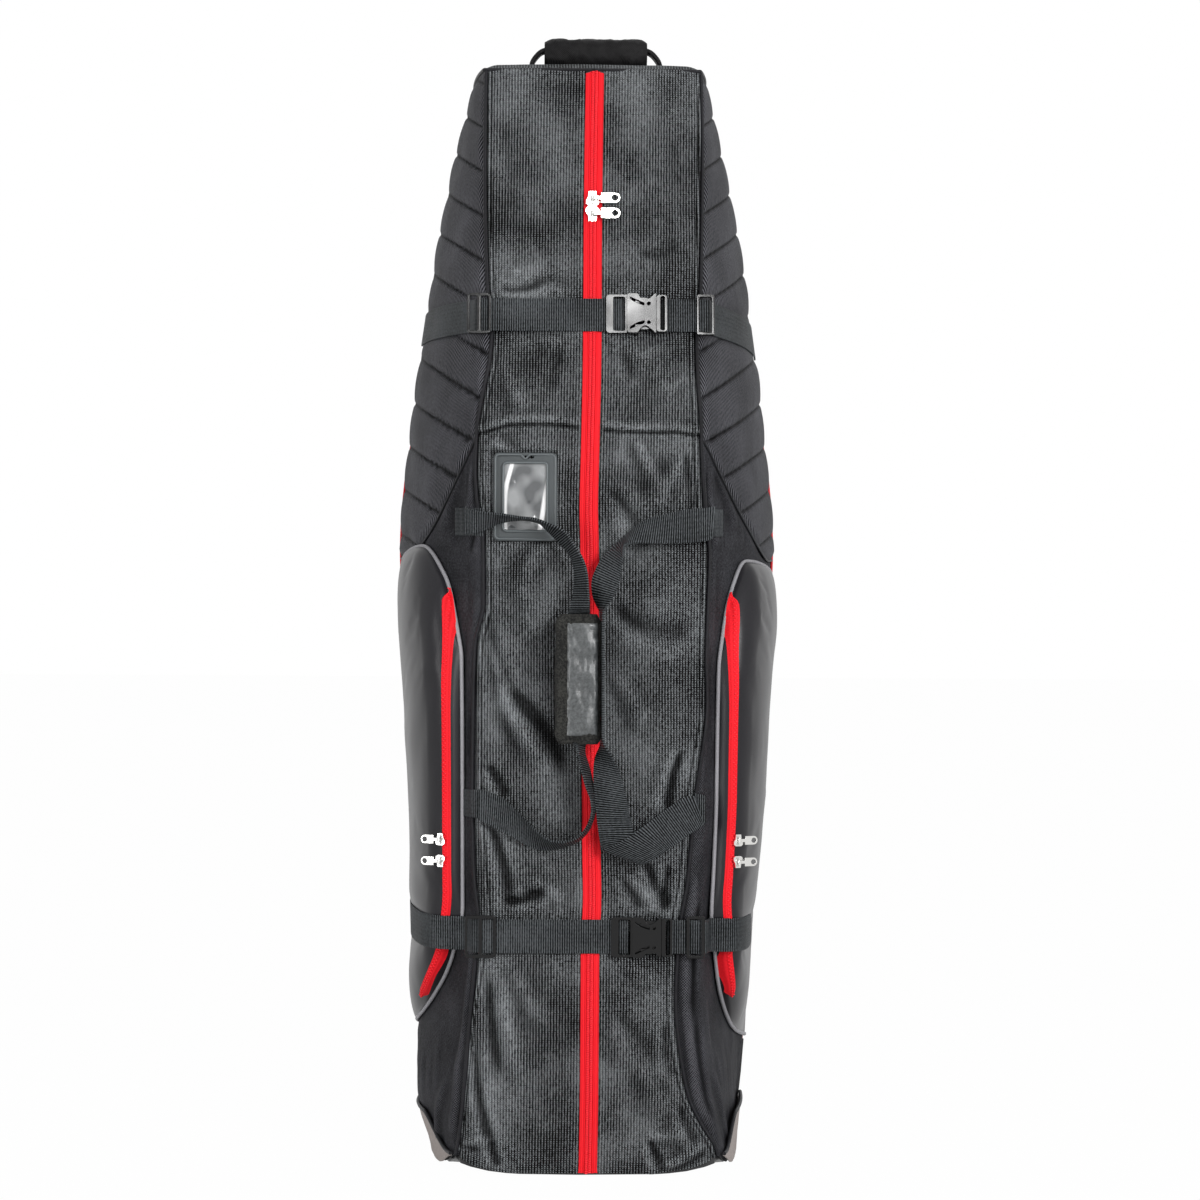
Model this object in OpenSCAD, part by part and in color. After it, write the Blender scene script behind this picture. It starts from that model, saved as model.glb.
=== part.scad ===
// Golf travel case: a padded, wheeled cover that stands on its moulded base.
// +Z is up, the front with the long zip faces -Y, +X is to the right. Millimetres.
// The fabric walls are lofted from one cross-section that changes with height.

/* [Case] */
// Height of the fabric body, without the top handle
case_h = 1240; // [1100:10:1320]
// Greatest width, just above the side pockets
case_w = 434; // [400:2:470]
// Width of the body at its top
top_w = 262; // [250:2:300]
// Width of the body at its foot
foot_w = 350; // [320:2:380]
// Height of the greatest width
widest_z = 690; // [660:5:720]
// Depth of the body at its middle
case_d = 315; // [290:1:340]
// Depth of the body at its foot
foot_d = 302; // [280:1:320]
// Height up to which the front swells out from the foot
flare_z = 220; // [160:5:235]
// Angle by which the upper front leans back
lean = 13; // [8:0.5:16]
// Radius of the rear corners
corner_r = 48; // [36:1:60]
// Thickness of the padded wall
wall = 6; // [4:0.5:8]
// How far the front panel bows out
crown = 7; // [4:0.5:10]
// Height of the domed top
dome_h = 9; // [6:1:14]
// Gap between two panels at a seam
seam_gap = 0.3; // [0.2:0.05:0.5]

/* [Front panel] */
// Width of the front panel where the halves swing
front_w = 252; // [236:2:264]
// Width of the front panel below the top straps
neck_w = 236; // [224:2:250]
// Width of the front panel at its top
front_top_w = 242; // [230:2:248]
// Width of the front panel at its foot
front_foot_w = 296; // [270:2:310]
// Height of the cross seam, the top of the swinging halves
seam_z = 825; // [800:5:850]
// Height of the bottom of the swinging halves
flap_low_z = 300; // [295:1:320]
// Width of the zip with its tapes
zip_w = 20; // [16:1:24]
// Width of the zip's coil
coil_w = 7; // [5:0.5:9]
// Height of the coil above the panel
coil_h = 1; // [0.6:0.1:1.6]
// Thickness of the zip's tape
tape_t = 1.6; // [1.2:0.1:2]
// Depth of the tape below the panel's face
tape_set = 1; // [0.8:0.1:1.4]

/* [Straps] */
// Height of the upper strap
upper_strap_z = 952; // [935:1:970]
// Height of the lower strap
lower_strap_z = 267; // [255:1:270]
// Width of the strap webbing
web_w = 38; // [32:1:40]
// Thickness of the webbing
web_t = 2; // [1.5:0.1:2.4]
// Gap between a strap and what it lies on
lie = 0.4; // [0.3:0.1:0.6]
// Place of the upper buckle's mouth across the front
mouth_x = 70; // [60:1:74]
// Place of the lower buckle's mouth across the front
lower_mouth_x = 79; // [66:1:82]
// Length of the buckle's housing
socket_l = 32; // [28:1:34]
// Length of the housing's web bar end
web_bar_l = 20; // [16:1:22]
// Height of the buckle
buckle_w = 45; // [44:0.5:50]
// Thickness of the buckle
buckle_t = 11; // [9.5:0.5:12]
// How far the housing draws off the plug
release = 24; // [20:1:26]
// Length of the upper tri-glide
glide_l = 26; // [22:1:28]
// Length of the lower tri-glide
lower_glide_l = 34; // [28:1:36]
// Thickness of a tri-glide and of a ring
frame_t = 3.6; // [3:0.2:4.4]
// Place of the upper ring's middle across the front
ring_x = 125; // [119:1:128]
// Place of the lower ring's middle across the front
lower_ring_x = 117; // [112:1:126]
// Length of a ring
ring_l = 20; // [18:1:22]

/* [Carry handles] */
// Width of the handle webbing
handle_w = 30; // [26:1:34]
// Thickness of the handle webbing
handle_t = 2.5; // [2:0.1:3]
// Length of the padded grip
grip_l = 144; // [130:1:155]
// Width of the padded grip
grip_w = 54; // [48:1:56]
// Thickness of the padded grip
grip_t = 24; // [18:1:26]
// Height of the grip's middle
grip_z = 552; // [540:1:565]
// How far the grip stands off the front seams
handle_rise = 41; // [38:1:48]
// Height of the handles' upper ends
handle_top_z = 728; // [715:1:740]
// Height of the handles' lower ends
handle_low_z = 411; // [400:1:425]

/* [Top handle] */
// Distance between the legs of the top handle
bail_l = 152; // [140:2:170]
// Length of the top handle's pad
top_pad_l = 118; // [100:2:126]
// Height of the pad above the top
top_pad_clear = 14; // [13:1:20]
// Thickness of the pad
top_pad_t = 30; // [26:1:32]
// Width of the pad
top_pad_w = 34; // [30:1:36]
// Width of the top handle's webbing
bail_w = 25; // [20:1:26]

/* [Side pockets] */
// How far a pocket bulges
bulge_max = 25; // [18:1:32]
// Height of the pocket's peak
pocket_top_z = 700; // [680:5:712]
// Height of the pocket's tip
pocket_tip_z = 138; // [130:2:160]
// Thickness of the pocket's cloth
pocket_t = 2.4; // [2:0.2:3]
// Height of the upper pocket slider
pocket_slider_z = 372; // [365:1:390]

/* [Name window] */
// Width of the window's frame
name_w = 70; // [60:1:76]
// Height of the window's frame
name_h = 97; // [86:1:104]
// Width of its rim
name_rim = 11.5; // [8:0.5:14]
// Thickness of the frame
name_t = 3.4; // [2.6:0.2:4]
// Height of the frame's middle
name_z = 751; // [735:1:765]

/* [Wheels and base] */
// Radius of a wheel
wheel_r = 38; // [32:1:40]
// Width of a wheel
wheel_w = 26; // [20:1:28]
// Distance of a wheel's middle from the case's middle
wheel_x = 132; // [124:1:136]
// Gap between a wheel and its housing
wheel_gap = 2; // [1.5:0.5:3]
// Radius of an axle
axle_r = 4; // [3:0.5:5]
// Running clearance of a shaft in its bore
fit = 0.06; // [0.04:0.01:0.1]
// Height of the moulded boot at the back
boot_h = 118; // [100:2:135]
// Thickness of the base plate
plate_t = 10; // [8:1:14]
// Length of a skid rail
rail_l = 360; // [300:10:420]
// Width of a skid rail
rail_w = 14; // [10:1:18]
// How far a skid rail stands proud
rail_t = 7; // [5:0.5:9]

/* [Zip sliders] */
// Length of the main zip's sliders
slider_l = 17; // [14:1:19]
// Width of the main zip's sliders
slider_w = 14.5; // [12:0.5:16]
// Thickness of a slider's body
slider_t = 3; // [2.4:0.2:3.4]
// Length of a main zip's pull
pull_l = 31; // [26:1:34]
// Height of the two sliders' nose line, as a share of the way from the upper strap to the top
sliders_share = 0.424; // [0.3:0.01:0.8]

/* [Hidden] */

$fn = 40;
out = 1; // taking a cut a little past the face it opens

// Depth positions, front to back
back_y = 150;
front_mid_y = back_y - case_d;
front_foot_y = back_y - foot_d;
lean_slope = tan(lean);
lean_blend = 80; // height over which the lean sets in
lean_z = seam_z + lean_blend;
side_y = back_y - corner_r; // where the side runs into the rear corner
zip_half = zip_w / 2;
wheel_z = wheel_r + 2;
wheel_y = back_y - 26;
// The part is centred front to back on its farthest points
loop_y = front_mid_y - handle_rise;
reach_front = loop_y - max(grip_t, handle_w) / 2;
reach_back = wheel_y + wheel_r;
place_y = -(reach_front + reach_back) / 2;

// ---- helpers: interpolation ----
function mix(a, b, t) = a + (b - a) * t;
function clamp(t) = min(1, max(0, t));
function smooth(t) = let(u = clamp(t)) u * u * (3 - 2 * u);
function seg(t, z, i = 0) = i >= len(t) - 2 || z < t[i + 1][0] ? i : seg(t, z, i + 1);
function secant(t, i) = (t[i + 1][1] - t[i][1]) / (t[i + 1][0] - t[i][0]);
function slope(t, i) =
    i == 0 ? secant(t, 0)
    : i == len(t) - 1 ? secant(t, i - 1)
    : let(a = secant(t, i - 1), b = secant(t, i)) a * b <= 0 ? 0 : 2 * a * b / (a + b);
// A smooth curve through a table of [z, value] that never overshoots
function curve(t, z) =
    let(i = seg(t, z), h = t[i + 1][0] - t[i][0], u = clamp((z - t[i][0]) / h))
    t[i][1] * (1 + 2 * u) * pow(1 - u, 2) + slope(t, i) * h * u * pow(1 - u, 2)
    + t[i + 1][1] * u * u * (3 - 2 * u) + slope(t, i + 1) * h * u * u * (u - 1);

// ---- the cross-section at height z ----
side_table = [
    [0, foot_w / 2], [widest_z * 0.17, mix(foot_w, case_w, 0.28) / 2],
    [widest_z * 0.43, mix(foot_w, case_w, 0.44) / 2],
    [widest_z * 0.72, mix(foot_w, case_w, 0.63) / 2], [widest_z, case_w / 2],
    [mix(widest_z, case_h, 0.31), mix(case_w, top_w, 0.18) / 2],
    [mix(widest_z, case_h, 0.49), mix(case_w, top_w, 0.33) / 2],
    [mix(widest_z, case_h, 0.745), mix(case_w, top_w, 0.6) / 2],
    [case_h, top_w / 2]
];
front_table = [
    [0, front_foot_w / 2], [flare_z, front_w / 2], [seam_z, front_w / 2],
    [upper_strap_z, neck_w / 2], [case_h, front_top_w / 2]
];
function side_x(z) = curve(side_table, z);
function front_x(z) = curve(front_table, z);
function front_y(z) =
    z < seam_z ? mix(front_foot_y, front_mid_y, smooth(z / flare_z))
    : z < lean_z ? front_mid_y + lean_slope * pow(z - seam_z, 2) / (2 * lean_blend)
    : front_mid_y + lean_slope * (lean_blend / 2 + z - lean_z);

// A point on the wall: off is its depth below the outer face.
// s runs 0..1 over half the front, 1..2 over the side, 2..3 round the rear corner, 3..4 to the
// middle of the back.
function front_pt(z, x, off) =
    [x, front_y(z) + off - crown * (1 - pow(x / (front_x(z) - off), 2)), z];
function flank_pt(z, t, off) =
    let(a = front_x(z) - off, b = side_x(z) - off, c = mix(a, b, 0.9),
        y0 = front_y(z) + off, y1 = mix(y0, side_y, 0.4))
    [a * pow(1 - t, 2) + 2 * c * t * (1 - t) + b * t * t,
     y0 * pow(1 - t, 2) + 2 * y1 * t * (1 - t) + side_y * t * t, z];
function corner_pt(z, t, off) =
    [side_x(z) - corner_r + (corner_r - off) * cos(90 * t), side_y + (corner_r - off) * sin(90 * t), z];
function wall_pt(z, s, off) =
    s < 1 ? front_pt(z, mix(zip_half + seam_gap, front_x(z) - off, s), off)
    : s <= 2 ? flank_pt(z, s - 1, off)
    : s <= 3 ? corner_pt(z, s - 2, off)
    : [(side_x(z) - corner_r) * (4 - s), back_y - off, z];
function flip_x(p) = [-p[0], p[1], p[2]];
function wall_at(z, s, off) = s <= 4 ? wall_pt(z, s, off) : flip_x(wall_pt(z, 8 - s, off));

// ---- helpers: solids from points ----
function tris(a, b, c, d) = [[a, b, c], [a, c, d]];
// A sheet between two equal grids of points, outer and inner
module sheet(outer, inner) {
    n = len(outer);
    m = len(outer[0]);
    k = n * m;
    rim = concat(
        [for (j = [0:m - 1]) j], [for (i = [1:n - 1]) i * m + m - 1],
        [for (j = [m - 2:-1:0]) (n - 1) * m + j], [for (i = [n - 2:-1:1]) i * m]
    );
    polyhedron(
        points = concat([for (r = outer) each r], [for (r = inner) each r]),
        faces = concat(
            [for (i = [0:n - 2], j = [0:m - 2]) let(a = i * m + j)
                each tris(a, a + m, a + m + 1, a + 1)],
            [for (i = [0:n - 2], j = [0:m - 2]) let(a = k + i * m + j)
                each tris(a, a + 1, a + m + 1, a + m)],
            [for (q = [0:len(rim) - 1]) let(a = rim[q], b = rim[(q + 1) % len(rim)])
                each tris(a, b, k + b, k + a)]
        )
    );
}
// A tube through closed rings of points, capped at both ends
module tube(rings) {
    n = len(rings);
    m = len(rings[0]);
    polyhedron(
        points = [for (r = rings) each r],
        faces = concat(
            [[for (j = [0:m - 1]) j]], [[for (j = [m - 1:-1:0]) (n - 1) * m + j]],
            [for (i = [0:n - 2], j = [0:m - 1]) let(a = i * m, b = (j + 1) % m)
                each tris(a + j, a + m + j, a + m + b, a + b)]
        )
    );
}
module placed() translate([0, place_y, 0]) children();
module both() { children(); mirror([1, 0, 0]) children(); }
function round_rect(w, h, r, n = 5) = [
    for (q = [0:3], k = [0:n]) let(a = 90 * q + 90 * k / n, sx = q == 0 || q == 3 ? 1 : -1)
        [sx * (w / 2 - r) + r * cos(a), (q < 2 ? 1 : -1) * (h / 2 - r) + r * sin(a)]
];

// ---- fabric walls ----
// Grid of wall points over the stations ss, at the shares in rows of the way from lo[j] to hi[j]
function wall_grid(ss, lo, hi, rows, off) = [
    for (r = rows) [for (j = [0:len(ss) - 1]) wall_at(mix(lo[j], hi[j], r), ss[j], off)]
];
module wall_sheet(ss, lo, hi, rows, off = 0, t = wall)
    sheet(wall_grid(ss, lo, hi, rows, off), wall_grid(ss, lo, hi, rows, off + t));
function spread(a, b, n) = [for (i = [0:n]) mix(a, b, i / n)];
function even(n) = spread(0, 1, n);
function same(v, list) = [for (s = list) v];

panel_low_z = 2.5;
panel_top_z = case_h - dome_h;
edge_s = seam_gap / (front_w / 2); // a seam's gap as a share of the front half
flank_s = seam_gap / case_d;
front_ss = spread(0, 1 - edge_s, 4);
side_ss = spread(1, 2 - flank_s, 7);
split_drop = 108; // how far the side's diagonal seam falls from front to back
function split_z(s) = seam_z - split_drop * (s - 1);

module side_upper()
    wall_sheet(side_ss, [for (s = side_ss) split_z(s) + seam_gap / 2],
        same(panel_top_z - seam_gap, side_ss), even(upper_rows));
// The side's rows meet the front's at their common seam
flap_low_share = (flap_low_z - panel_low_z) / (seam_z - panel_low_z);
module side_lower()
    wall_sheet(side_ss, same(panel_low_z, side_ss), [for (s = side_ss) split_z(s) - seam_gap / 2],
        concat(spread(0, flap_low_share, foot_rows), spread(mix(flap_low_share, 1, 0.2), 1, 4)));
upper_rows = 9;
foot_rows = 7;
module front_part(lo, hi, rows) wall_sheet(front_ss, same(lo, front_ss), same(hi, front_ss), rows);

module side_upper_right() color("#2b2c2f") placed() side_upper();
module side_upper_left() color("#2b2c2f") placed() mirror([1, 0, 0]) side_upper();
module side_lower_right() color("#333438") placed() side_lower();
module side_lower_left() color("#333438") placed() mirror([1, 0, 0]) side_lower();
module front_upper() front_part(seam_z + seam_gap / 2, panel_top_z - seam_gap, even(upper_rows));
module front_upper_right() color("#3a3b3e") placed() front_upper();
module front_upper_left() color("#3a3b3e") placed() mirror([1, 0, 0]) front_upper();
module front_lower() front_part(panel_low_z, flap_low_z - seam_gap / 2, even(foot_rows));
module front_lower_right() color("#3a3b3e") placed() front_lower();
module front_lower_left() color("#3a3b3e") placed() mirror([1, 0, 0]) front_lower();
module front_flap() front_part(flap_low_z + seam_gap / 2, seam_z - seam_gap / 2, even(2));
module front_flap_right() color("#3a3b3e") placed() front_flap();
module front_flap_left() color("#3a3b3e") placed() mirror([1, 0, 0]) front_flap();

back_ss = concat(spread(2, 3, 4), [4], spread(5, 6, 4));
module back_panel() color("#26272a") placed()
    wall_sheet(back_ss, same(boot_h + seam_gap, back_ss), same(panel_top_z - seam_gap, back_ss), even(16));

// The outline at height z, all round
function outline(z, off) = concat(
    [for (s = spread(0, 1, 4)) wall_at(z, s, off)],
    [for (s = spread(1.15, 2, 5)) wall_at(z, s, off)],
    [for (s = spread(2.25, 3, 3)) wall_at(z, s, off)],
    [for (s = spread(5, 6, 4)) wall_at(z, s, off)],
    [for (s = spread(6.15, 7, 5)) wall_at(z, s, off)],
    [for (s = spread(7.25, 8, 3)) wall_at(z, s, off)]
);
function at_z(ring, z) = [for (p = ring) [p[0], p[1], z]];
// The domed top closes the walls
module top_panel() color("#303134") placed() tube([
    at_z(outline(panel_top_z, 0), panel_top_z), at_z(outline(panel_top_z, 1), panel_top_z + dome_h * 0.5),
    at_z(outline(panel_top_z, 5), panel_top_z + dome_h * 0.9), at_z(outline(panel_top_z, 14), case_h)
]);

// ---- moulded base ----
pod_wall = 11; // plastic beside each wheel
pod_w = wheel_w + 2 * wheel_gap + 2 * pod_wall;
pod_r = wheel_r + wheel_gap + 6;
pod_front_y = back_y - 74;
pod_h = wheel_z + pod_r;
module pod_profile() intersection() {
    union() {
        translate([wheel_y, wheel_z]) circle(pod_r);
        translate([pod_front_y, 0]) square([back_y - pod_front_y, wheel_z + 14]);
    }
    translate([pod_front_y, 0]) square([back_y - pod_front_y, pod_h]);
}
// A profile in the YZ plane given thickness along X, centred
module along_x(l) rotate([90, 0, 90]) translate([0, 0, -l / 2]) linear_extrude(l) children();
module wheel_pod() translate([wheel_x, 0, 0]) difference() {
    along_x(pod_w) pod_profile();
    translate([0, wheel_y, wheel_z]) rotate([0, 90, 0])
        cylinder(r = wheel_r + wheel_gap + 1, h = wheel_w + 2 * wheel_gap, center = true);
    translate([0, wheel_y, wheel_z]) rotate([0, 90, 0])
        cylinder(r = axle_r + fit, h = pod_w + 2 * out, center = true);
}
plate_off = wall + 0.9;
module base_plate() color("#1d1d1f") placed() {
    difference() {
        linear_extrude(plate_t) polygon([for (p = outline(0, plate_off)) [p[0], p[1]]]);
        both() translate([wheel_x - pod_w / 2, pod_front_y, -out])
            cube([pod_w, 2 * pod_front_y, plate_t + 2 * out]);
    }
    both() wheel_pod();
}
// The boot wraps the back below the fabric and lets the wheel housings through
boot_off = -1.2; // the boot stands a little proud of the fabric
boot_ss = concat(spread(2, 3, 4), [4], spread(5, 6, 4));
module base_boot() color("#1d1d1f") placed() difference() {
    wall_sheet(boot_ss, same(panel_low_z, boot_ss), same(boot_h, boot_ss), even(3), boot_off, wall - 1);
    both() translate([wheel_x - pod_w / 2 - seam_gap, pod_front_y, -out])
        cube([pod_w + 2 * seam_gap, 2 * pod_front_y, pod_h + seam_gap + out]);
}
guard_s = 1.55; // how far forward a corner guard reaches
guard_h = 52;
guard_t = 1.6;
guard_ss = spread(guard_s, 2 - flank_s, 4);
module corner_guards() color("#6f6a66") placed() both()
    wall_sheet(guard_ss, same(panel_low_z, guard_ss),
        [for (s = guard_ss) mix(panel_low_z + 6, guard_h, (s - guard_s) / (2 - guard_s))], even(2),
        -guard_t - seam_gap, guard_t);

rail_lift = 24; // above the boot
rail_z = boot_h + rail_lift;
rail_gap = 84; // between two rails
module skid_rails() color("#1a1a1b") placed() for (i = [-1:1])
    translate([i * rail_gap, back_y + seam_gap, rail_z]) difference() {
        translate([-rail_w / 2, 0, 0]) cube([rail_w, rail_t, rail_l]);
        for (e = [0, rail_l]) translate([0, rail_t, e]) rotate([45, 0, 0])
            cube([rail_w + 2 * out, rail_t * 1.2, rail_t * 1.2], center = true);
    }

// ---- wheels ----
axle_l = pod_w - 2;
module wheel_axles() color("#b9babc") placed() both()
    translate([wheel_x, wheel_y, wheel_z]) rotate([0, 90, 0])
        cylinder(r = axle_r, h = axle_l, center = true);
tread_r = 3; // round of the tread's edges
hub_r = wheel_r * 0.62;
hub_set = 4; // how deep the hub's faces are recessed
module wheel_profile() difference() {
    polygon(concat(
        [[axle_r + fit, -wheel_w / 2 + 1], [hub_r * 0.4, -wheel_w / 2 + 1],
         [hub_r * 0.4 + 1, -wheel_w / 2 + hub_set], [hub_r, -wheel_w / 2 + hub_set],
         [hub_r + 1, -wheel_w / 2 + 1], [wheel_r - tread_r - 3, -wheel_w / 2]],
        [for (k = [0:4]) [wheel_r - tread_r + tread_r * sin(22.5 * k),
            -wheel_w / 2 + tread_r - tread_r * cos(22.5 * k)]],
        [for (k = [0:4]) [wheel_r - tread_r + tread_r * cos(22.5 * k),
            wheel_w / 2 - tread_r + tread_r * sin(22.5 * k)]],
        [[wheel_r - tread_r - 3, wheel_w / 2], [hub_r + 1, wheel_w / 2 - 1],
         [hub_r, wheel_w / 2 - hub_set], [hub_r * 0.4 + 1, wheel_w / 2 - hub_set],
         [hub_r * 0.4, wheel_w / 2 - 1], [axle_r + fit, wheel_w / 2 - 1]]
    ));
}
spoke_holes = 5;
module wheel() translate([wheel_x, wheel_y, wheel_z]) rotate([0, 90, 0]) difference() {
    rotate_extrude() wheel_profile();
    for (k = [0:spoke_holes - 1]) rotate([0, 0, 360 * k / spoke_holes])
        translate([hub_r * 0.7, 0, 0]) cylinder(r = hub_r * 0.2, h = wheel_w, center = true);
}
module wheel_right() color("#18181a") placed() wheel();
module wheel_left() color("#18181a") placed() mirror([1, 0, 0]) wheel();

// ---- main zip ----
// One ring of the zip's section at height z between x0 and x1, with its coil
function zip_ring(z, x0, x1) =
    let(c0 = max(x0, -coil_w / 2), c1 = min(x1, coil_w / 2), low = tape_set + tape_t)
    [for (q = concat(
        [[x0, low]], x0 < c0 ? [[x0, tape_set], [c0, tape_set]] : [],
        [[c0, -coil_h], [c1, -coil_h]], x1 > c1 ? [[c1, tape_set], [x1, tape_set]] : [],
        [[x1, low]]
    )) front_pt(z, q[0], q[1])];
module zip_run(z0, z1, rows, x0 = -zip_half, x1 = zip_half)
    tube([for (z = spread(z0, z1, rows)) zip_ring(z, x0, x1)]);
module main_zip_ends() color("#d3141c") placed() {
    zip_run(panel_low_z, flap_low_z - seam_gap / 2, 6);
    zip_run(seam_z + seam_gap / 2, panel_top_z - seam_gap, 8);
}
module flap_zip() zip_run(flap_low_z + seam_gap / 2, seam_z - seam_gap / 2, 1, seam_gap / 2, zip_half);
module flap_zip_right() color("#d3141c") placed() flap_zip();
module flap_zip_left() color("#d3141c") placed() mirror([1, 0, 0]) flap_zip();

// ---- zip sliders: local frame, z along the zip, -y out of the face, origin on the coil ----
bail_r = 1.1;
bail_rise = 2.4;
bail_y = -(lie + slider_t + bail_rise); // height of the pull's pivot
eye_r = 2.4;
pull_t = 1.6;
module slider_body(l, w) {
    // a shield: wide at the nose, narrow at the tail
    rotate([90, 0, 0]) translate([0, 0, lie]) linear_extrude(slider_t) polygon([
        [-w * 0.28, -l / 2], [w * 0.28, -l / 2], [w * 0.34, -l * 0.1], [w / 2, l * 0.12],
        [w / 2, l * 0.36], [w * 0.3, l / 2], [-w * 0.3, l / 2], [-w / 2, l * 0.36],
        [-w / 2, l * 0.12], [-w * 0.34, -l * 0.1]
    ]);
    for (e = [-1, 1]) translate([-bail_r, bail_y - bail_r, e * (l * 0.32) - 1])
        cube([2 * bail_r, bail_rise + bail_r + 0.5, 2]);
    translate([0, bail_y, 0]) cylinder(r = bail_r, h = l * 0.64, center = true);
}
module pull_tab(l, w) difference() {
    union() {
        translate([0, bail_y, 0]) cylinder(r = eye_r, h = w * 0.36, center = true);
        translate([0, bail_y + pull_t / 2, 0]) rotate([90, 0, 0]) linear_extrude(pull_t) union() {
            translate([0, -w * 0.18]) square([l * 0.35, w * 0.36]);
            translate([l - w / 2, 0]) circle(w / 2);
            translate([l * 0.3, -w / 2]) square([l * 0.7 - w / 2, w]);
        }
    }
    translate([0, bail_y, 0]) cylinder(r = bail_r + fit, h = w, center = true);
    translate([l - w / 2, bail_y, 0]) rotate([90, 0, 0]) cylinder(r = w * 0.3, h = 3 * pull_t, center = true);
}
pull_w = 12;
slider_apart = slider_l / 2 + 0.4;
// On the leaning part of the main zip, at height z
module on_zip(z) translate([0, front_y(z) - crown - coil_h, z]) rotate([-lean, 0, 0]) children();
sliders_z = mix(upper_strap_z, case_h, sliders_share);
module main_slider_up() color("#d8d9db") placed() on_zip(sliders_z) translate([0, 0, slider_apart])
    mirror([0, 0, 1]) slider_body(slider_l, slider_w);
module main_pull_up() color("#d8d9db") placed() on_zip(sliders_z) translate([0, 0, slider_apart])
    pull_tab(pull_l, pull_w);
module main_slider_low() color("#d8d9db") placed() on_zip(sliders_z) translate([0, 0, -slider_apart])
    slider_body(slider_l, slider_w);
module main_pull_low() color("#d8d9db") placed() on_zip(sliders_z) translate([0, 0, -slider_apart])
    pull_tab(pull_l, pull_w);

// ---- side pockets ----
// A pocket covers t 0..1 of the side between these heights
pocket_t0 = 0.105;
pocket_base_z = 288; // where its front edge turns into the tip
pocket_low = [
    [pocket_t0, pocket_base_z], [0.3, mix(pocket_tip_z, pocket_base_z, 0.6)],
    [0.6, mix(pocket_tip_z, pocket_base_z, 0.26)], [1, pocket_tip_z]
];
pocket_high = [
    [pocket_t0, pocket_top_z - 120], [0.22, pocket_top_z - 38], [0.47, pocket_top_z],
    [0.75, pocket_top_z - 14], [1, pocket_top_z - 50]
];
flank_l = 270; // length of the side across the pocket
function quarter(u) = let(v = clamp(u)) sqrt(1 - pow(1 - v, 2));
function inside_pocket(t, z) =
    t >= pocket_t0 && z > curve(pocket_low, t) && z < curve(pocket_high, t);
function bulge(t, z) = inside_pocket(t, z)
    ? bulge_max * quarter((t - pocket_t0) * flank_l / 60)
        * quarter((curve(pocket_high, t) - z) / 90) * quarter((z - curve(pocket_low, t)) / 60)
        * (1 - pow(clamp((t - 0.3) / 0.7), 1.5))
    : 0;
pocket_ts = [pocket_t0, 0.115, 0.13, 0.15, 0.17, 0.2, 0.24, 0.3, 0.37, 0.45, 0.54, 0.64, 0.76, 0.88,
    1 - flank_s];
pocket_vs = [0, 0.015, 0.04, 0.08, 0.13, 0.2, 0.3, 0.45, 0.6, 0.72, 0.81, 0.88, 0.93, 0.965, 0.985, 1];
function pocket_z(t, v) = mix(curve(pocket_low, t), curve(pocket_high, t), v);
// A point over the pocket's cloth, extra above its inner face
function pocket_pt(t, z, extra) = flank_pt(z, t, -lie - bulge(t, z) - extra);
function pocket_grid(extra) = [
    for (v = pocket_vs) [for (t = pocket_ts) pocket_pt(t, pocket_z(t, v), extra)]
];
module side_pocket() sheet(pocket_grid(pocket_t), pocket_grid(0));
module side_pocket_right() color("#3d3e42") placed() side_pocket();
module side_pocket_left() color("#3d3e42") placed() mirror([1, 0, 0]) side_pocket();

// ---- pocket zips ----
pocket_zip_t = 0.15; // the zip's straight run up the pocket's front edge
pocket_zip_w = 9;
pocket_zip_h = 1.6;
zip_lift = 0.8; // gap that lets the flat zip bridge the pocket's facets
zip_inset = 15; // from the pocket's edge round the ends
pocket_zip_path = concat(
    [for (t = spread(0.56, 0.24, 6)) [t * flank_l, curve(pocket_low, t) + zip_inset]],
    [for (q = [[0.212, -15], [0.184, -3], [0.163, 11]]) [q[0] * flank_l, pocket_base_z + q[1]]],
    [for (z = spread(pocket_base_z + 27, pocket_top_z - 150, 5)) [pocket_zip_t * flank_l, z]],
    [for (q = [[0.152, -128], [0.158, -110], [0.168, -94], [0.183, -79], [0.2, -66], [0.22, -55],
        [0.235, -49]]) [q[0] * flank_l, pocket_top_z + q[1]]]
);
function across(path, k) =
    let(a = path[max(0, k - 1)], b = path[min(len(path) - 1, k + 1)], d = b - a)
    [d[1], -d[0]] / norm(d);
function pocket_zip_pt(k, w, h) =
    let(q = pocket_zip_path[k] + w * across(pocket_zip_path, k))
    pocket_pt(q[0] / flank_l, q[1], pocket_t + zip_lift + h);
module pocket_zip() let(w = pocket_zip_w / 2, h = pocket_zip_h) tube([
    for (k = [0:len(pocket_zip_path) - 1])
        [pocket_zip_pt(k, -w, h), pocket_zip_pt(k, w, h), pocket_zip_pt(k, w, 0), pocket_zip_pt(k, -w, 0)]
]);
module pocket_zips() color("#d3141c") placed() both() pocket_zip();

small_slider_l = 13;
small_slider_w = 11;
small_pull_l = 22;
small_pull_w = 9.5;
small_apart = 24; // between the two sliders of a pocket
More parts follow.
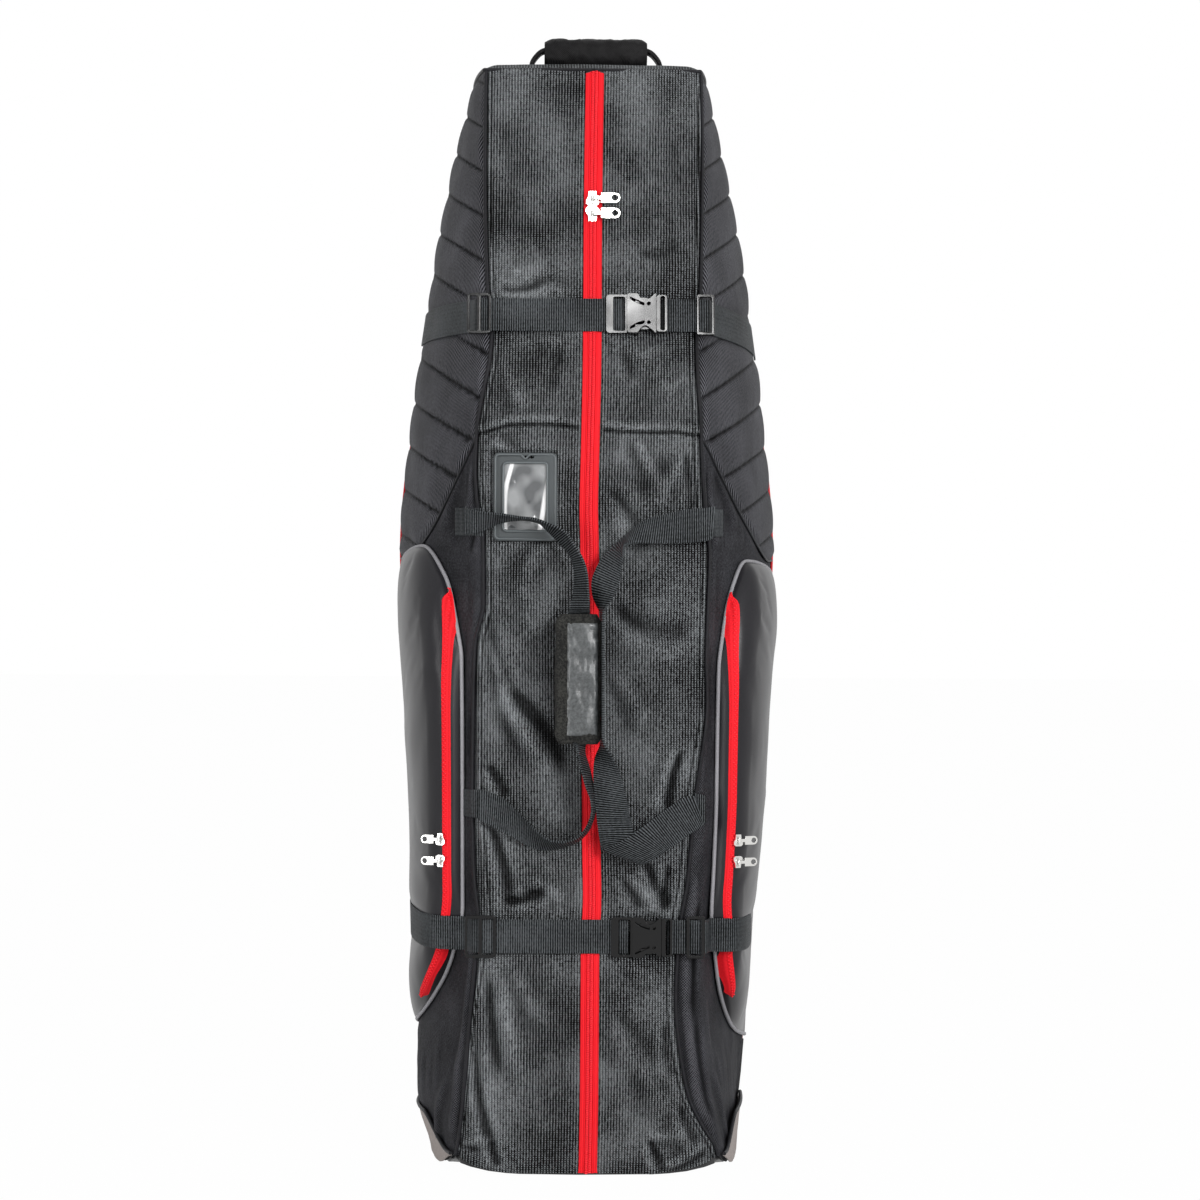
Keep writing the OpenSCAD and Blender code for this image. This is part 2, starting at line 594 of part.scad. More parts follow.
// On the straight run of a pocket's zip, at height z
module on_pocket(z) let(
    p = pocket_pt(pocket_zip_t, z, pocket_t + zip_lift + pocket_zip_h),
    d = pocket_pt(pocket_zip_t + 0.01, z, pocket_t) - pocket_pt(pocket_zip_t - 0.01, z, pocket_t)
) translate(p) rotate([0, 0, atan2(d[1], d[0])]) children();
module pocket_slider(z, up) on_pocket(z) mirror([0, 0, up ? 1 : 0]) slider_body(small_slider_l, small_slider_w);
module pocket_pull(z) on_pocket(z) pull_tab(small_pull_l, small_pull_w);
pocket_slider_low_z = pocket_slider_z - small_apart;
module left_side() placed() mirror([1, 0, 0]) children();
module pocket_slider_right_up() color("#d8d9db") placed() pocket_slider(pocket_slider_z, true);
module pocket_pull_right_up() color("#d8d9db") placed() pocket_pull(pocket_slider_z);
module pocket_slider_right_low() color("#d8d9db") placed() pocket_slider(pocket_slider_low_z, false);
module pocket_pull_right_low() color("#d8d9db") placed() pocket_pull(pocket_slider_low_z);
module pocket_slider_left_up() color("#d8d9db") left_side() pocket_slider(pocket_slider_z, true);
module pocket_pull_left_up() color("#d8d9db") left_side() pocket_pull(pocket_slider_z);
module pocket_slider_left_low() color("#d8d9db") left_side() pocket_slider(pocket_slider_low_z, false);
module pocket_pull_left_low() color("#d8d9db") left_side() pocket_pull(pocket_slider_low_z);

// ---- compression straps: their front run lies in a plane against the crown ----
glide_x = -125; // middle of the upper tri-glide across the front
lower_glide_x = -120;
glide_end = 3.4; // width of a frame's bars
turn_l = 3; // the least a strap runs sideways as it turns down the side
function strap_lean(z) = z > lean_z ? lean : 0;
function strap_face(zc) = front_y(zc) - crown - coil_h; // the plane the straps cross the zip in
// A point of a strap's flat run: x across, dz up the strap's width, d out from the crown
function flat_pt(zc, x, dz, d) =
    let(a = strap_lean(zc))
    [x, strap_face(zc) - d * cos(a) + dz * sin(a), zc + dz * cos(a) + d * sin(a)];
function on_side(zc, drop, t, dz, d) =
    let(z = zc - drop * t, cover = max([for (e = [-1:1]) let(b = bulge(t, z + e * web_w / 2))
        b + (inside_pocket(t, z + e * web_w / 2) ? pocket_t + zip_lift + pocket_zip_h : 0)]))
    flank_pt(z + dz, t, -lie - cover - d);
function band_ring(p0, p1, p2, p3) = [p3, p0, p1, p2];
strap_ts = [0.03, 0.08, 0.13, 0.18, 0.25, 0.34, 0.45, 0.58, 0.72, 0.86, 1 - flank_s];
// A strap's run from x0 on the front, past x1 where it turns, to the rear seam; sides mirror
module side_band(zc, x0, x1, drop, d = lie, h = web_w / 2) tube(concat(
    [for (x = [x0, x1]) band_ring(flat_pt(zc, x, -h, d), flat_pt(zc, x, h, d),
        flat_pt(zc, x, h, d + web_t), flat_pt(zc, x, -h, d + web_t))],
    [for (t = strap_ts) if (on_side(zc, drop, t, h, 0)[0] > x1 + turn_l) band_ring(on_side(zc, drop, t, -h, 0), on_side(zc, drop, t, h, 0),
        on_side(zc, drop, t, h, web_t), on_side(zc, drop, t, -h, web_t))]
));
// Local frame of a strap's flat run: x across, z up the web, -y out
module on_strap(zc) translate([0, strap_face(zc), zc]) rotate([-strap_lean(zc), 0, 0]) children();
module slab(x0, x1, y0, y1, h) translate([x0, -y1, -h / 2]) cube([x1 - x0, y1 - y0, h]);
// A plate standing out from depth y0 to y1 whose outline is drawn in the XZ plane
module plate(y0, y1) rotate([90, 0, 0]) translate([0, 0, y0]) linear_extrude(y1 - y0) children();
over_web = lie + web_t + lie; // what crosses the webbing starts here

module strap_front(zc, gx, mx) on_strap(zc)
    slab(gx, mx - socket_l - glide_end - lie, lie, lie + web_t, web_w);
frame_h = web_w + 2 * glide_end + 2;
module triglide(zc, gx, l) on_strap(zc) translate([gx, 0, 0]) plate(over_web, over_web + frame_t) difference() {
    polygon(round_rect(l, frame_h, 4));
    for (e = [-1, 1]) translate([e * l / 4 - e * 0.4, 0])
        polygon(round_rect(l / 2 - glide_end - 1.2, web_w + 1.6, 1.2, 2));
}
module ring(zc, rx) on_strap(zc) translate([rx, 0, 0]) plate(over_web, over_web + frame_t) difference() {
    polygon(round_rect(ring_l, frame_h, 2.4));
    polygon(round_rect(ring_l - 2 * glide_end, web_w + 2, 1.2, 2));
}
core_y = lie + buckle_t / 2; // mid-thickness of the buckle
cavity_t = buckle_t * 0.56;
cavity_w = buckle_w - 7;
cavity_l = socket_l - 3;
latch_gap = 1.6; // rib between a latch window and the scoop beside it
// The housing's outline: full at the web bar, scooped in where the latches are pressed, flared at
// the mouth
scoop_low = buckle_w * 0.32; // half width at the bottom of a scoop
function scoop_edge() = [for (k = [0:8]) let(u = k / 8)
    [mix(-socket_l * 0.62, -socket_l * 0.1, u),
     mix(scoop_low, buckle_w / 2 - mix(0.6, 2.4, u), pow(abs(2 * pow(u, 0.9) - 1), 1.7))]];
function flip_y(p) = [p[0], -p[1]];
function backwards(list) = [for (k = [len(list) - 1:-1:0]) list[k]];
socket_edge = concat([[-socket_l, buckle_w / 2 - 2], [-socket_l + 2, buckle_w / 2], [-socket_l * 0.66, buckle_w / 2]],
    scoop_edge(), [[-1.2, buckle_w / 2], [0, buckle_w / 2]]);
// A window over each latch, running along the scoop
latch_window = concat(
    [for (k = [0:6]) let(u = k / 6) [mix(-socket_l * 0.9, -socket_l * 0.4, u),
        mix(buckle_w / 2 - 4, scoop_low - latch_gap, pow(u, 1.1)) - 1.4 * u]],
    [for (k = [6:-1:0]) let(u = k / 6) [mix(-socket_l * 0.9, -socket_l * 0.4, u),
        mix(buckle_w / 2 - 6.4, scoop_low - latch_gap - 4.2, pow(u, 0.8)) - 0.6 * sin(180 * u)]]
);
module socket(zc, mx) on_strap(zc) translate([mx, 0, 0]) difference() {
    union() {
        plate(lie, lie + buckle_t) polygon(concat(socket_edge, [for (p = backwards(socket_edge)) flip_y(p)]));
        translate([-socket_l - web_bar_l / 2, 0, 0]) plate(over_web, over_web + frame_t + 1) difference() {
            polygon(round_rect(web_bar_l + 6, buckle_w - 1, 4));
            translate([1.5, 0]) polygon(round_rect(web_bar_l - 2 * glide_end, web_w + 1, 1.5, 2));
        }
    }
    // the hollow that takes the plug, open at the mouth
    slab(-cavity_l, out, core_y - cavity_t / 2, core_y + cavity_t / 2, cavity_w);
    // side windows for the thumb and finger
    slab(-socket_l * 0.66, -socket_l * 0.12, core_y - cavity_t / 2, core_y + cavity_t / 2, buckle_w + 2 * out);
    // the windows in the face, with a small one towards the mouth
    plate(core_y, buckle_t + 2 * out) for (e = [-1, 1]) scale([1, e]) {
        polygon(latch_window);
        translate([-socket_l * 0.25, scoop_low - latch_gap - 2.1]) circle(r = 2.1, $fn = 12);
    }
}
prong_clear = 0.5;
prong_t = cavity_t - 2 * prong_clear;
prong_w = 4.6;
plug_l = 12;
module prong() {
    z0 = cavity_w / 2 - prong_clear - prong_w - 1.4;
    // a bowed latch head stands out between the shoulders
    plate(core_y - prong_t / 2, core_y + prong_t / 2) polygon(concat(
        [[out, z0], [out, z0 + prong_w - 1.4], [-cavity_l * 0.18, z0 + prong_w - 1.4]],
        [for (k = [0:6]) [mix(-cavity_l * 0.24, -cavity_l * 0.7, k / 6), z0 + prong_w + 1.3 * sin(30 * k)]],
        [[-release + 1, z0 + 2.4], [-release + 1, z0]]
    ));
}
module plug(zc, mx) on_strap(zc) translate([mx, 0, 0]) {
    translate([plug_l / 2 + seam_gap, 0, 0]) plate(over_web, lie + buckle_t - 1) difference() {
        polygon(round_rect(plug_l, buckle_w - 3, 3, 3));
        translate([1, 0]) polygon(round_rect(plug_l * 0.4, web_w + 1, 1.5, 2));
    }
    prong();
    mirror([0, 0, 1]) prong();
    slab(-cavity_l * 0.72, out, core_y - prong_t / 2, core_y + prong_t / 2, 8);
}
module strap_right(zc, mx, rx, drop) {
    on_strap(zc) slab(mx + plug_l * 0.6, rx - 1, lie, lie + web_t, web_w);
    side_band(zc, rx + 1, max(rx, ring_x) + 1 + turn_l, drop);
}
upper_drop_left = 4; // how far a strap falls towards the back
upper_drop_right = 18;
lower_drop_left = -7;
lower_drop_right = 5;
underlap = 14; // the left run passes through the tri-glide under the front run
module strap_left(zc, gx, drop) mirror([1, 0, 0])
    side_band(zc, -gx - underlap, max(-gx, -glide_x) + turn_l, drop, -lie - web_t);
module upper_strap_left() color("#242426") placed() strap_left(upper_strap_z, glide_x, upper_drop_left);
module lower_strap_left() color("#242426") placed() strap_left(lower_strap_z, lower_glide_x, lower_drop_left);
module upper_strap_right() color("#242426") placed() strap_right(upper_strap_z, mouth_x, ring_x, upper_drop_right);
module lower_strap_right() color("#242426") placed()
    strap_right(lower_strap_z, lower_mouth_x, lower_ring_x, lower_drop_right);
module upper_strap_front() color("#242426") placed() strap_front(upper_strap_z, glide_x, mouth_x);
module lower_strap_front() color("#242426") placed() strap_front(lower_strap_z, lower_glide_x, lower_mouth_x);
module upper_triglide() color("#151516") placed() triglide(upper_strap_z, glide_x, glide_l);
module lower_triglide() color("#151516") placed() triglide(lower_strap_z, lower_glide_x, lower_glide_l);
module upper_socket() color("#151516") placed() socket(upper_strap_z, mouth_x);
module lower_socket() color("#151516") placed() socket(lower_strap_z, lower_mouth_x);
module upper_plug() color("#151516") placed() plug(upper_strap_z, mouth_x);
module lower_plug() color("#151516") placed() plug(lower_strap_z, lower_mouth_x);
module upper_ring() color("#151516") placed() ring(upper_strap_z, ring_x);
module lower_ring() color("#151516") placed() ring(lower_strap_z, lower_ring_x);

// ---- carry handles ----
seam_x = front_w / 2;
grip_x = -14; // the grip hangs a little to the left of the zip
grip_top_z = grip_z + grip_l / 2;
grip_low_z = grip_z - grip_l / 2;
beside_x = grip_x + grip_w / 2 + 0.8 + handle_t / 2; // the right loop runs edge-on beside the grip
loop_start = 2; // how far in front of the seam a loop starts
loop_in = 3; // how far inside the seam it starts
// Control points: x, how far in front of the seam, height, twist from face-on 0 to edge-on 1
left_loop = [
    [-seam_x + loop_in, loop_start, handle_top_z, 0], [-seam_x + 15, 10.6, handle_top_z, 0],
    [-seam_x + 36, 14, handle_top_z, 0],
    [-54, 22, handle_top_z - 3, 0], [-27, 32, handle_top_z - 28, 0],
    [grip_x, handle_rise, grip_top_z + 20, 0], [grip_x, handle_rise, grip_top_z + 8, 0],
    [grip_x, handle_rise, grip_low_z - 8, 0], [grip_x, handle_rise, grip_low_z - 20, 0],
    [grip_x + 8, 36, grip_low_z - 55, 0], [-14, 28, handle_low_z - 34, 0],
    [-46, 20, handle_low_z - 42, 0], [-seam_x + 38, 11, handle_low_z - 20, 0],
    [-seam_x + loop_in, loop_start, handle_low_z, 0]
];
right_loop = [
    [seam_x - loop_in, loop_start, handle_top_z - 6, 0], [seam_x - 40, 13, handle_top_z - 18, 0],
    [46, 24, handle_top_z - 26, 0.1], [24, 34, handle_top_z - 44, 0.5],
    [beside_x, handle_rise, grip_top_z + 26, 1], [beside_x, handle_rise, grip_top_z + 8, 1],
    [beside_x, handle_rise, grip_low_z - 8, 1], [beside_x, handle_rise, grip_low_z - 16, 0.9],
    [22, 36, grip_low_z - 50, 0.3], [30, 27, handle_low_z - 40, 0],
    [56, 20, handle_low_z - 58, 0], [seam_x - 38, 12, handle_low_z - 26, 0],
    [seam_x - loop_in, loop_start, handle_low_z, 0]
];
function spline(p, k, u) =
    let(a = p[max(0, k - 1)], b = p[k], c = p[k + 1], d = p[min(len(p) - 1, k + 2)])
    0.5 * (2 * b + (c - a) * u + (2 * a - 5 * b + 4 * c - d) * u * u + (3 * b - a - 3 * c + d) * u * u * u);
function smooth_path(p, n) = concat(
    [for (k = [0:len(p) - 2], u = [0:n - 1]) spline(p, k, u / n)], [p[len(p) - 1]]
);
function unit(v) = v / norm(v);
function front_of_seam(q) = [q[0], front_mid_y - q[1], q[2]];
module webbing_loop(control, side, w = handle_w / 2, h = handle_t / 2) {
    path = smooth_path(control, 3);
    n = len(path);
    tube([for (k = [0:n - 1])
        let(q = path[k], c = front_of_seam(q),
            dir = k == 0 || k == n - 1 ? [k == 0 ? side : -side, 0, 0]
                : unit(front_of_seam(path[k + 1]) - front_of_seam(path[k - 1])),
            face = [-sin(90 * q[3]), -cos(90 * q[3]), 0],
            nrm = unit(face - (face * dir) * dir), wid = cross(dir, nrm))
        [c - h * nrm - w * wid, c + h * nrm - w * wid, c + h * nrm + w * wid, c - h * nrm + w * wid]
    ]);
}
module carry_loop_left() color("#242426") placed() webbing_loop(left_loop, 1);
module carry_loop_right() color("#242426") placed() webbing_loop(right_loop, -1);
module carry_grip() color("#2a2a2c") placed() translate([grip_x, loop_y, grip_low_z]) difference() {
    linear_extrude(grip_l) polygon(round_rect(grip_w, grip_t, grip_t * 0.42));
    translate([-handle_w / 2 - lie, -handle_t / 2 - lie, -out])
        cube([handle_w + 2 * lie, handle_t + 2 * lie, grip_l + 2 * out]);
}
module anchor(z, t1) sheet(
    [for (e = [-1, 1]) [for (t = spread(0.024, t1, 2)) flank_pt(z + e * handle_w / 2, t, -lie - 2)]],
    [for (e = [-1, 1]) [for (t = spread(0.024, t1, 2)) flank_pt(z + e * handle_w / 2, t, -lie)]]
);
module handle_anchors() color("#242426") placed() both() {
    anchor(handle_top_z - 3, 0.14);
    anchor(handle_low_z, 0.09);
}

// ---- top handle ----
bail_x = 6; // the handle sits a little to the right
bail_z = case_h + lie + bail_w / 2; // its hinge line
bail_depth_y = (front_y(case_h) + back_y) / 2;
bail_t = 3;
pad_z = case_h + top_pad_clear + top_pad_t / 2;
module bail_profile() difference() {
    polygon([
        [-bail_l / 2, case_h], [-bail_l / 2, bail_z], [-top_pad_l / 2 - 3, pad_z + bail_t / 2],
        [top_pad_l / 2 + 3, pad_z + bail_t / 2], [bail_l / 2, bail_z], [bail_l / 2, case_h]
    ]);
    polygon([
        [-bail_l / 2 + bail_t, case_h - out], [-bail_l / 2 + bail_t, bail_z - 1],
        [-top_pad_l / 2 - 2, pad_z - bail_t / 2], [top_pad_l / 2 + 2, pad_z - bail_t / 2],
        [bail_l / 2 - bail_t, bail_z - 1], [bail_l / 2 - bail_t, case_h - out]
    ]);
}
module top_handle_web() color("#242426") placed() translate([bail_x, bail_depth_y, 0]) intersection() {
    translate([0, bail_w / 2, 0]) rotate([90, 0, 0]) linear_extrude(bail_w) bail_profile();
    union() {
        translate([0, 0, bail_z]) rotate([0, 90, 0]) cylinder(r = bail_w / 2, h = bail_l + 2 * out, center = true);
        translate([-bail_l / 2 - out, -bail_w / 2, bail_z]) cube([bail_l + 2 * out, bail_w, pad_z]);
    }
}
module top_handle_pad() color("#202022") placed() translate([bail_x, bail_depth_y, pad_z]) difference() {
    along_x(top_pad_l) polygon(round_rect(top_pad_w, top_pad_t, top_pad_t * 0.44));
    translate([-top_pad_l / 2 - out, -bail_w / 2 - lie, -bail_t / 2 - lie])
        cube([top_pad_l + 2 * out, bail_w + 2 * lie, bail_t + 2 * lie]);
}

// ---- name window on the left half ----
name_x = -73;
name_bow = -atan(2 * crown * -name_x / pow(seam_x, 2)); // the panel's slope under the frame
name_gap = 0.3;
module on_name() translate([name_x, front_mid_y - crown * (1 - pow(name_x / seam_x, 2)) - name_gap, name_z])
    rotate([0, 0, name_bow]) children();
module name_frame() color("#161617") placed() on_name() plate(0, name_t) difference() {
    polygon(round_rect(name_w, name_h, 6));
    polygon(round_rect(name_w - 2 * name_rim, name_h - 2 * name_rim, 4));
    translate([4, name_h / 2 - name_rim * 0.42]) polygon(round_rect(11, 3.2, 1.5));
}
module name_film() color("#8d9196") placed() on_name() plate(0.2, 1.2)
    polygon(round_rect(name_w - 2 * name_rim - 2 * seam_gap, name_h - 2 * name_rim - 2 * seam_gap, 4));

back_panel();
side_upper_left();
side_upper_right();
side_lower_left();
side_lower_right();
front_upper_left();
front_upper_right();
front_lower_left();
front_lower_right();
top_panel();
base_plate();
base_boot();
corner_guards();
side_pocket_left();
side_pocket_right();
pocket_zips();
main_zip_ends();
handle_anchors();
skid_rails();
wheel_axles();
upper_strap_left();
upper_strap_front();
upper_socket();
upper_plug();
upper_strap_right();
upper_ring();
upper_triglide();
lower_strap_left();
lower_strap_front();
lower_socket();
lower_plug();
lower_strap_right();
lower_ring();
lower_triglide();
front_flap_left();
front_flap_right();
flap_zip_left();
flap_zip_right();
name_frame();
name_film();
carry_loop_left();
carry_loop_right();
carry_grip();
top_handle_web();
top_handle_pad();
wheel_left();
wheel_right();
main_slider_up();
main_pull_up();
main_slider_low();
main_pull_low();
pocket_slider_left_up();
pocket_pull_left_up();
pocket_slider_left_low();
pocket_pull_left_low();
pocket_slider_right_up();
pocket_pull_right_up();
pocket_slider_right_low();
pocket_pull_right_low();
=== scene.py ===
import math

import bmesh
import bpy
import numpy as np
from mathutils import Euler, Matrix, Vector
from mathutils.bvhtree import BVHTree


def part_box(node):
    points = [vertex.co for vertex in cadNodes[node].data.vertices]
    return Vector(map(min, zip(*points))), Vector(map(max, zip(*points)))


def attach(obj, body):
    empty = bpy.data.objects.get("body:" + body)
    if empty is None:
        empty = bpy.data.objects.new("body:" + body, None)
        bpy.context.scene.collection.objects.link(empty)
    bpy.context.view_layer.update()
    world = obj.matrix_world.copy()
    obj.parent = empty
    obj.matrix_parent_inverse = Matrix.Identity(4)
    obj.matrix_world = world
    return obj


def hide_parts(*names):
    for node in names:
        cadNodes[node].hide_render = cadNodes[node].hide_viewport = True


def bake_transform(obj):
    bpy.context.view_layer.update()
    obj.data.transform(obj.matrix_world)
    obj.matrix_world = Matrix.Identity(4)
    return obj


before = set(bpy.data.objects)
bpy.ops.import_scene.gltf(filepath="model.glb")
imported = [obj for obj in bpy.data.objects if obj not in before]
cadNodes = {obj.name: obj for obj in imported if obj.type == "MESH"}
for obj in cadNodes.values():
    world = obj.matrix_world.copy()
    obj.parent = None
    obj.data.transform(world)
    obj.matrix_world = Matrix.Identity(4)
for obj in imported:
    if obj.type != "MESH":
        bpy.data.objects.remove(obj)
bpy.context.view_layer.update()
bpy.ops.object.select_all(action="DESELECT")
scene = bpy.context.scene
scene.view_settings.view_transform = "Standard"
sides = ((-1, "left"), (1, "right"))
print("frame loaded,", len(cadNodes), "nodes")

# where things show in the photograph
photoSide = 1200
photoPoints = {
    "leftEdge": (396, 576), "rightEdge": (776, 576), "topEdge": (598, 41), "bottomEdge": (593, 1178),
    "mainSliders": (597, 210), "nameWindow": (523, 496), "grip": (578, 679), "topPad": (598, 55),
    "upperTriglide": (477, 316), "upperBuckle": (630, 315), "upperRing": (705, 317),
    "lowerTriglide": (480, 939), "lowerBuckle": (639, 937), "lowerRing": (698, 933),
    "crossSeamLeft": (514, 428), "crossSeamRight": (644, 429), "quiltRowLeft": (450, 241), "quiltRowRight": (725, 245),
    "leftPocketPeak": (423, 546), "rightPocketPeak": (744, 555),
}
photoCamera = {
    "place": (-0.0835, -4.2725, 0.7042), "turn": 1.294, "tilt": -0.919, "roll": 0.32,
    "lens": 112.6, "sensor": 36.0, "toCase": 4.1,
}


def setCamera():
    data = bpy.data.cameras.new("photoCamera")
    data.sensor_fit = "AUTO"
    data.sensor_width = photoCamera["sensor"]
    data.lens = photoCamera["lens"]
    data.clip_end = 60
    camera = bpy.data.objects.new("photoCamera", data)
    scene.collection.objects.link(camera)
    camera.location = photoCamera["place"]
    tilt, turn, roll = (math.radians(photoCamera[key]) for key in ("tilt", "turn", "roll"))
    aim = Euler((math.pi / 2 + tilt, 0, -turn)).to_matrix() @ Euler((0, 0, roll)).to_matrix()
    camera.rotation_euler = aim.to_euler()
    scene.camera = camera
    bpy.context.view_layer.update()
    return camera


camera = setCamera()


def placeOn(tree, point):
    # the spot on a surface that shows at this point of the photograph
    data = camera.data
    x, y = point
    across, up = x - photoSide / 2 + data.shift_x * photoSide, photoSide / 2 - y + data.shift_y * photoSide
    way = Vector((across, up, -photoSide * data.lens / data.sensor_width))
    way = (camera.matrix_world.to_3x3() @ way).normalized()
    start = camera.matrix_world.translation.copy()
    spot = tree.ray_cast(start, way)[0]
    return tree.find_nearest(start + way * photoCamera["toCase"])[0] if spot is None else spot


def inPhoto(points):
    turned = (np.asarray(points) - np.array(camera.matrix_world.translation)) @ np.array(camera.matrix_world.to_3x3())
    size = photoSide * camera.data.lens / camera.data.sensor_width
    shown = size * turned[:, :2] / turned[:, 2:]
    return np.stack([photoSide / 2 - shown[:, 0], photoSide / 2 + shown[:, 1]], 1)


def treeOf(*names):
    points, faces = [], []
    for name in names:
        start = len(points)
        points += [v.co.copy() for v in cadNodes[name].data.vertices]
        faces += [[start + i for i in face.vertices] for face in cadNodes[name].data.polygons]
    return BVHTree.FromPolygons(points, faces)


def mm(rows, parts=1):
    # a table written in whole millimetres, or in parts of one
    return np.array(rows, float) / (1000 * parts)


def unit(x):
    return np.clip(x, 0, 1)


def between(a, b, t):
    return a + (b - a) * t


def easeIn(t):
    t = unit(t)
    return t * t * (3 - 2 * t)


def fades(length, *gaps):
    # 1 inside, easing to 0 over this length at each of the edges that the gaps are measured from
    product = 1
    for gap in gaps:
        product = product * easeIn(gap / length)
    return product


def bell(x, width, power=2):
    return np.exp(-(x / width) ** power)


def curveAt(table, z):
    # a smooth curve through the table's points that never overshoots them
    xs, ys = np.array(table, float).T
    gap = np.diff(xs)
    rise = np.diff(ys) / gap
    tilt = np.concatenate([rise[:1], [0 if a * b <= 0 else 2 * a * b / (a + b) for a, b in zip(rise, rise[1:])], rise[-1:]])
    z = np.clip(z, xs[0], xs[-1])
    i = np.clip(np.searchsorted(xs, z, side="right") - 1, 0, len(gap) - 1)
    u = (z - xs[i]) / gap[i]
    value = ys[i] * (1 + 2 * u) * (1 - u) ** 2 + tilt[i] * gap[i] * u * (1 - u) ** 2
    return value + ys[i + 1] * u * u * (3 - 2 * u) + tilt[i + 1] * gap[i] * u * u * (u - 1)


# the case's own form, with the same sections as the solids
case = {
    "height": 1.24, "width": 0.434, "topWidth": 0.262, "footWidth": 0.35, "widest": 0.69, "depth": 0.315, "footDepth": 0.302,
    "flare": 0.22, "lean": 13, "leanBlend": 0.08, "corner": 0.048, "crown": 0.007, "front": 0.252, "neck": 0.236,
    "frontTop": 0.242, "frontFoot": 0.296, "seam": 0.825, "upperStrap": 0.952, "lowerStrap": 0.267, "back": 0.15,
    "middleY": 0.0295, "low": 0.0025, "top": 1.2307, "climb": 0.019, "climbReach": 0.09, "tuckReach": 0.022,
    "swell": [(0, 0), (0.17, 0.28), (0.43, 0.44), (0.72, 0.63), (1, 1)], "taper": [(0.31, 0.18), (0.49, 0.33), (0.745, 0.6), (1, 1)],
}
# how far the filled sides slump out near the foot, by height
slumpTable = {
    -1: mm([(0, 2), (18, 5), (45, 12), (70, 15.5), (100, 14.5), (165, 9), (210, 5), (250, 0), (350, 0)]),
    1: mm([(0, 0), (30, -3), (70, -6), (130, -9), (190, -13), (240, -13), (290, -11), (330, -6.5), (370, -3), (420, 0), (1000, 0)]),
}
# how far outside the case's corner each front seam runs, and how far the zip sways to the right
seamStray = {
    -1: mm([(0, 0), (20, -1), (103, 3), (165, 6), (236, 0), (278, -4), (340, 3), (417, 6), (550, 4), (587, 2), (633, -8),
            (711, -7), (746, 0), (779, 3), (813, 2), (865, -4), (904, -8), (943, -8), (985, -2), (1100, 1), (1240, -1)]),
    1: mm([(0, -2), (20, -4), (50, -14), (90, -26), (120, -29), (179, -31), (240, -29), (288.5, -25), (323, -19), (360, -15),
           (410, -11), (450, -5), (528, 5), (574, 3), (655, 6), (683, 7), (739, 0), (813, -5), (870, -6), (927, -3), (970, 3),
           (1050, 6), (1160, 8), (1240, 4)]),
}
zipSway = mm([(0, 0), (100, 1), (250, 1), (310, 3), (360, 2), (500, 0), (700, -2), (740, -3), (800, -2), (920, 0), (1050, 0.5),
              (1100, 1), (1140, 1.5), (1240, 3)])


def halfWidths():
    wide, high = case["widest"], case["height"]
    foot, middle, top = case["footWidth"] / 2, case["width"] / 2, case["topWidth"] / 2
    rows = [(wide * a, between(foot, middle, b)) for a, b in case["swell"]]
    return rows + [(between(wide, high, a), between(middle, top, b)) for a, b in case["taper"]]


sideTable = halfWidths()
frontTable = [(0, case["frontFoot"] / 2), (case["flare"], case["front"] / 2), (case["seam"], case["front"] / 2),
              (case["upperStrap"], case["neck"] / 2), (case["height"], case["frontTop"] / 2)]


def sideX(z):
    return curveAt(sideTable, z)


def frontX(z):
    return curveAt(frontTable, z)


def frontY(z):
    z = np.asarray(z, float)
    slope = math.tan(math.radians(case["lean"]))
    middle, foot = case["back"] - case["depth"], case["back"] - case["footDepth"]
    blend, above = case["leanBlend"], z - case["seam"]
    low = between(foot, middle, easeIn(z / case["flare"]))
    bend = middle + slope * above ** 2 / (2 * blend)
    high = middle + slope * (blend / 2 + above - blend)
    return np.where(above < 0, low, np.where(z < case["seam"] + blend, bend, high)) + case["middleY"]


def stack(x, y, z):
    return np.stack(np.broadcast_arrays(x, y, z), -1).astype(float)


def frontAt(z, x, off=0.0):
    return stack(x, frontY(z) + off - case["crown"] * (1 - (x / (frontX(z) - off)) ** 2), z)


def flankAt(z, t, off=0.0):
    # t runs 0 to 1 from the front corner to the rear one
    a, b = frontX(z) - off, sideX(z) - off
    c = between(a, b, 0.9)
    y0, y2 = frontY(z) + off, case["back"] - case["corner"] + case["middleY"]
    y1 = between(y0, y2, 0.4)
    return stack(a * (1 - t) ** 2 + 2 * c * t * (1 - t) + b * t * t, y0 * (1 - t) ** 2 + 2 * y1 * t * (1 - t) + y2 * t * t, z)


def rearAt(z, s, off=0.0):
    # s runs 0 to 1 round a rear corner, 1 to 2 to the middle of the back, and on to 4 at the other side
    r = case["corner"]
    m = np.where(s <= 2, s, 4 - s)
    turn = np.radians(90 * unit(m))
    x = np.where(m <= 1, sideX(z) - r + (r - off) * np.cos(turn), (sideX(z) - r) * (2 - m))
    y = np.where(m <= 1, case["back"] - r + (r - off) * np.sin(turn), case["back"] - off) + case["middleY"]
    return stack(np.where(s <= 2, x, -x), y, z)


def slump(side, z, share):
    return curveAt(slumpTable[side], z) * np.sin(math.pi * np.clip(share, 0.001, 0.999) ** 1.25) ** 0.6


def footLift(z, near):
    # the cloth's lower edge climbs towards the front corners; near is 1 at the corner's seam
    return case["climb"] * unit(1 - (z - case["low"]) / case["climbReach"]) ** 2 * unit(near)


def footTuck(z):
    return unit(1 - (z - case["low"]) / case["tuckReach"]) ** 2


def sidewise(points, side):
    points = points.copy()
    points[..., 0] *= side
    return points


def sway(points):
    moved = points.copy()
    x, y, z = points[..., 0], points[..., 1], points[..., 2]
    moved[..., 0] += curveAt(zipSway, z) * unit(1 - (x / frontX(z)) ** 2) * np.where(y < 0.03, 1, 0)
    return moved


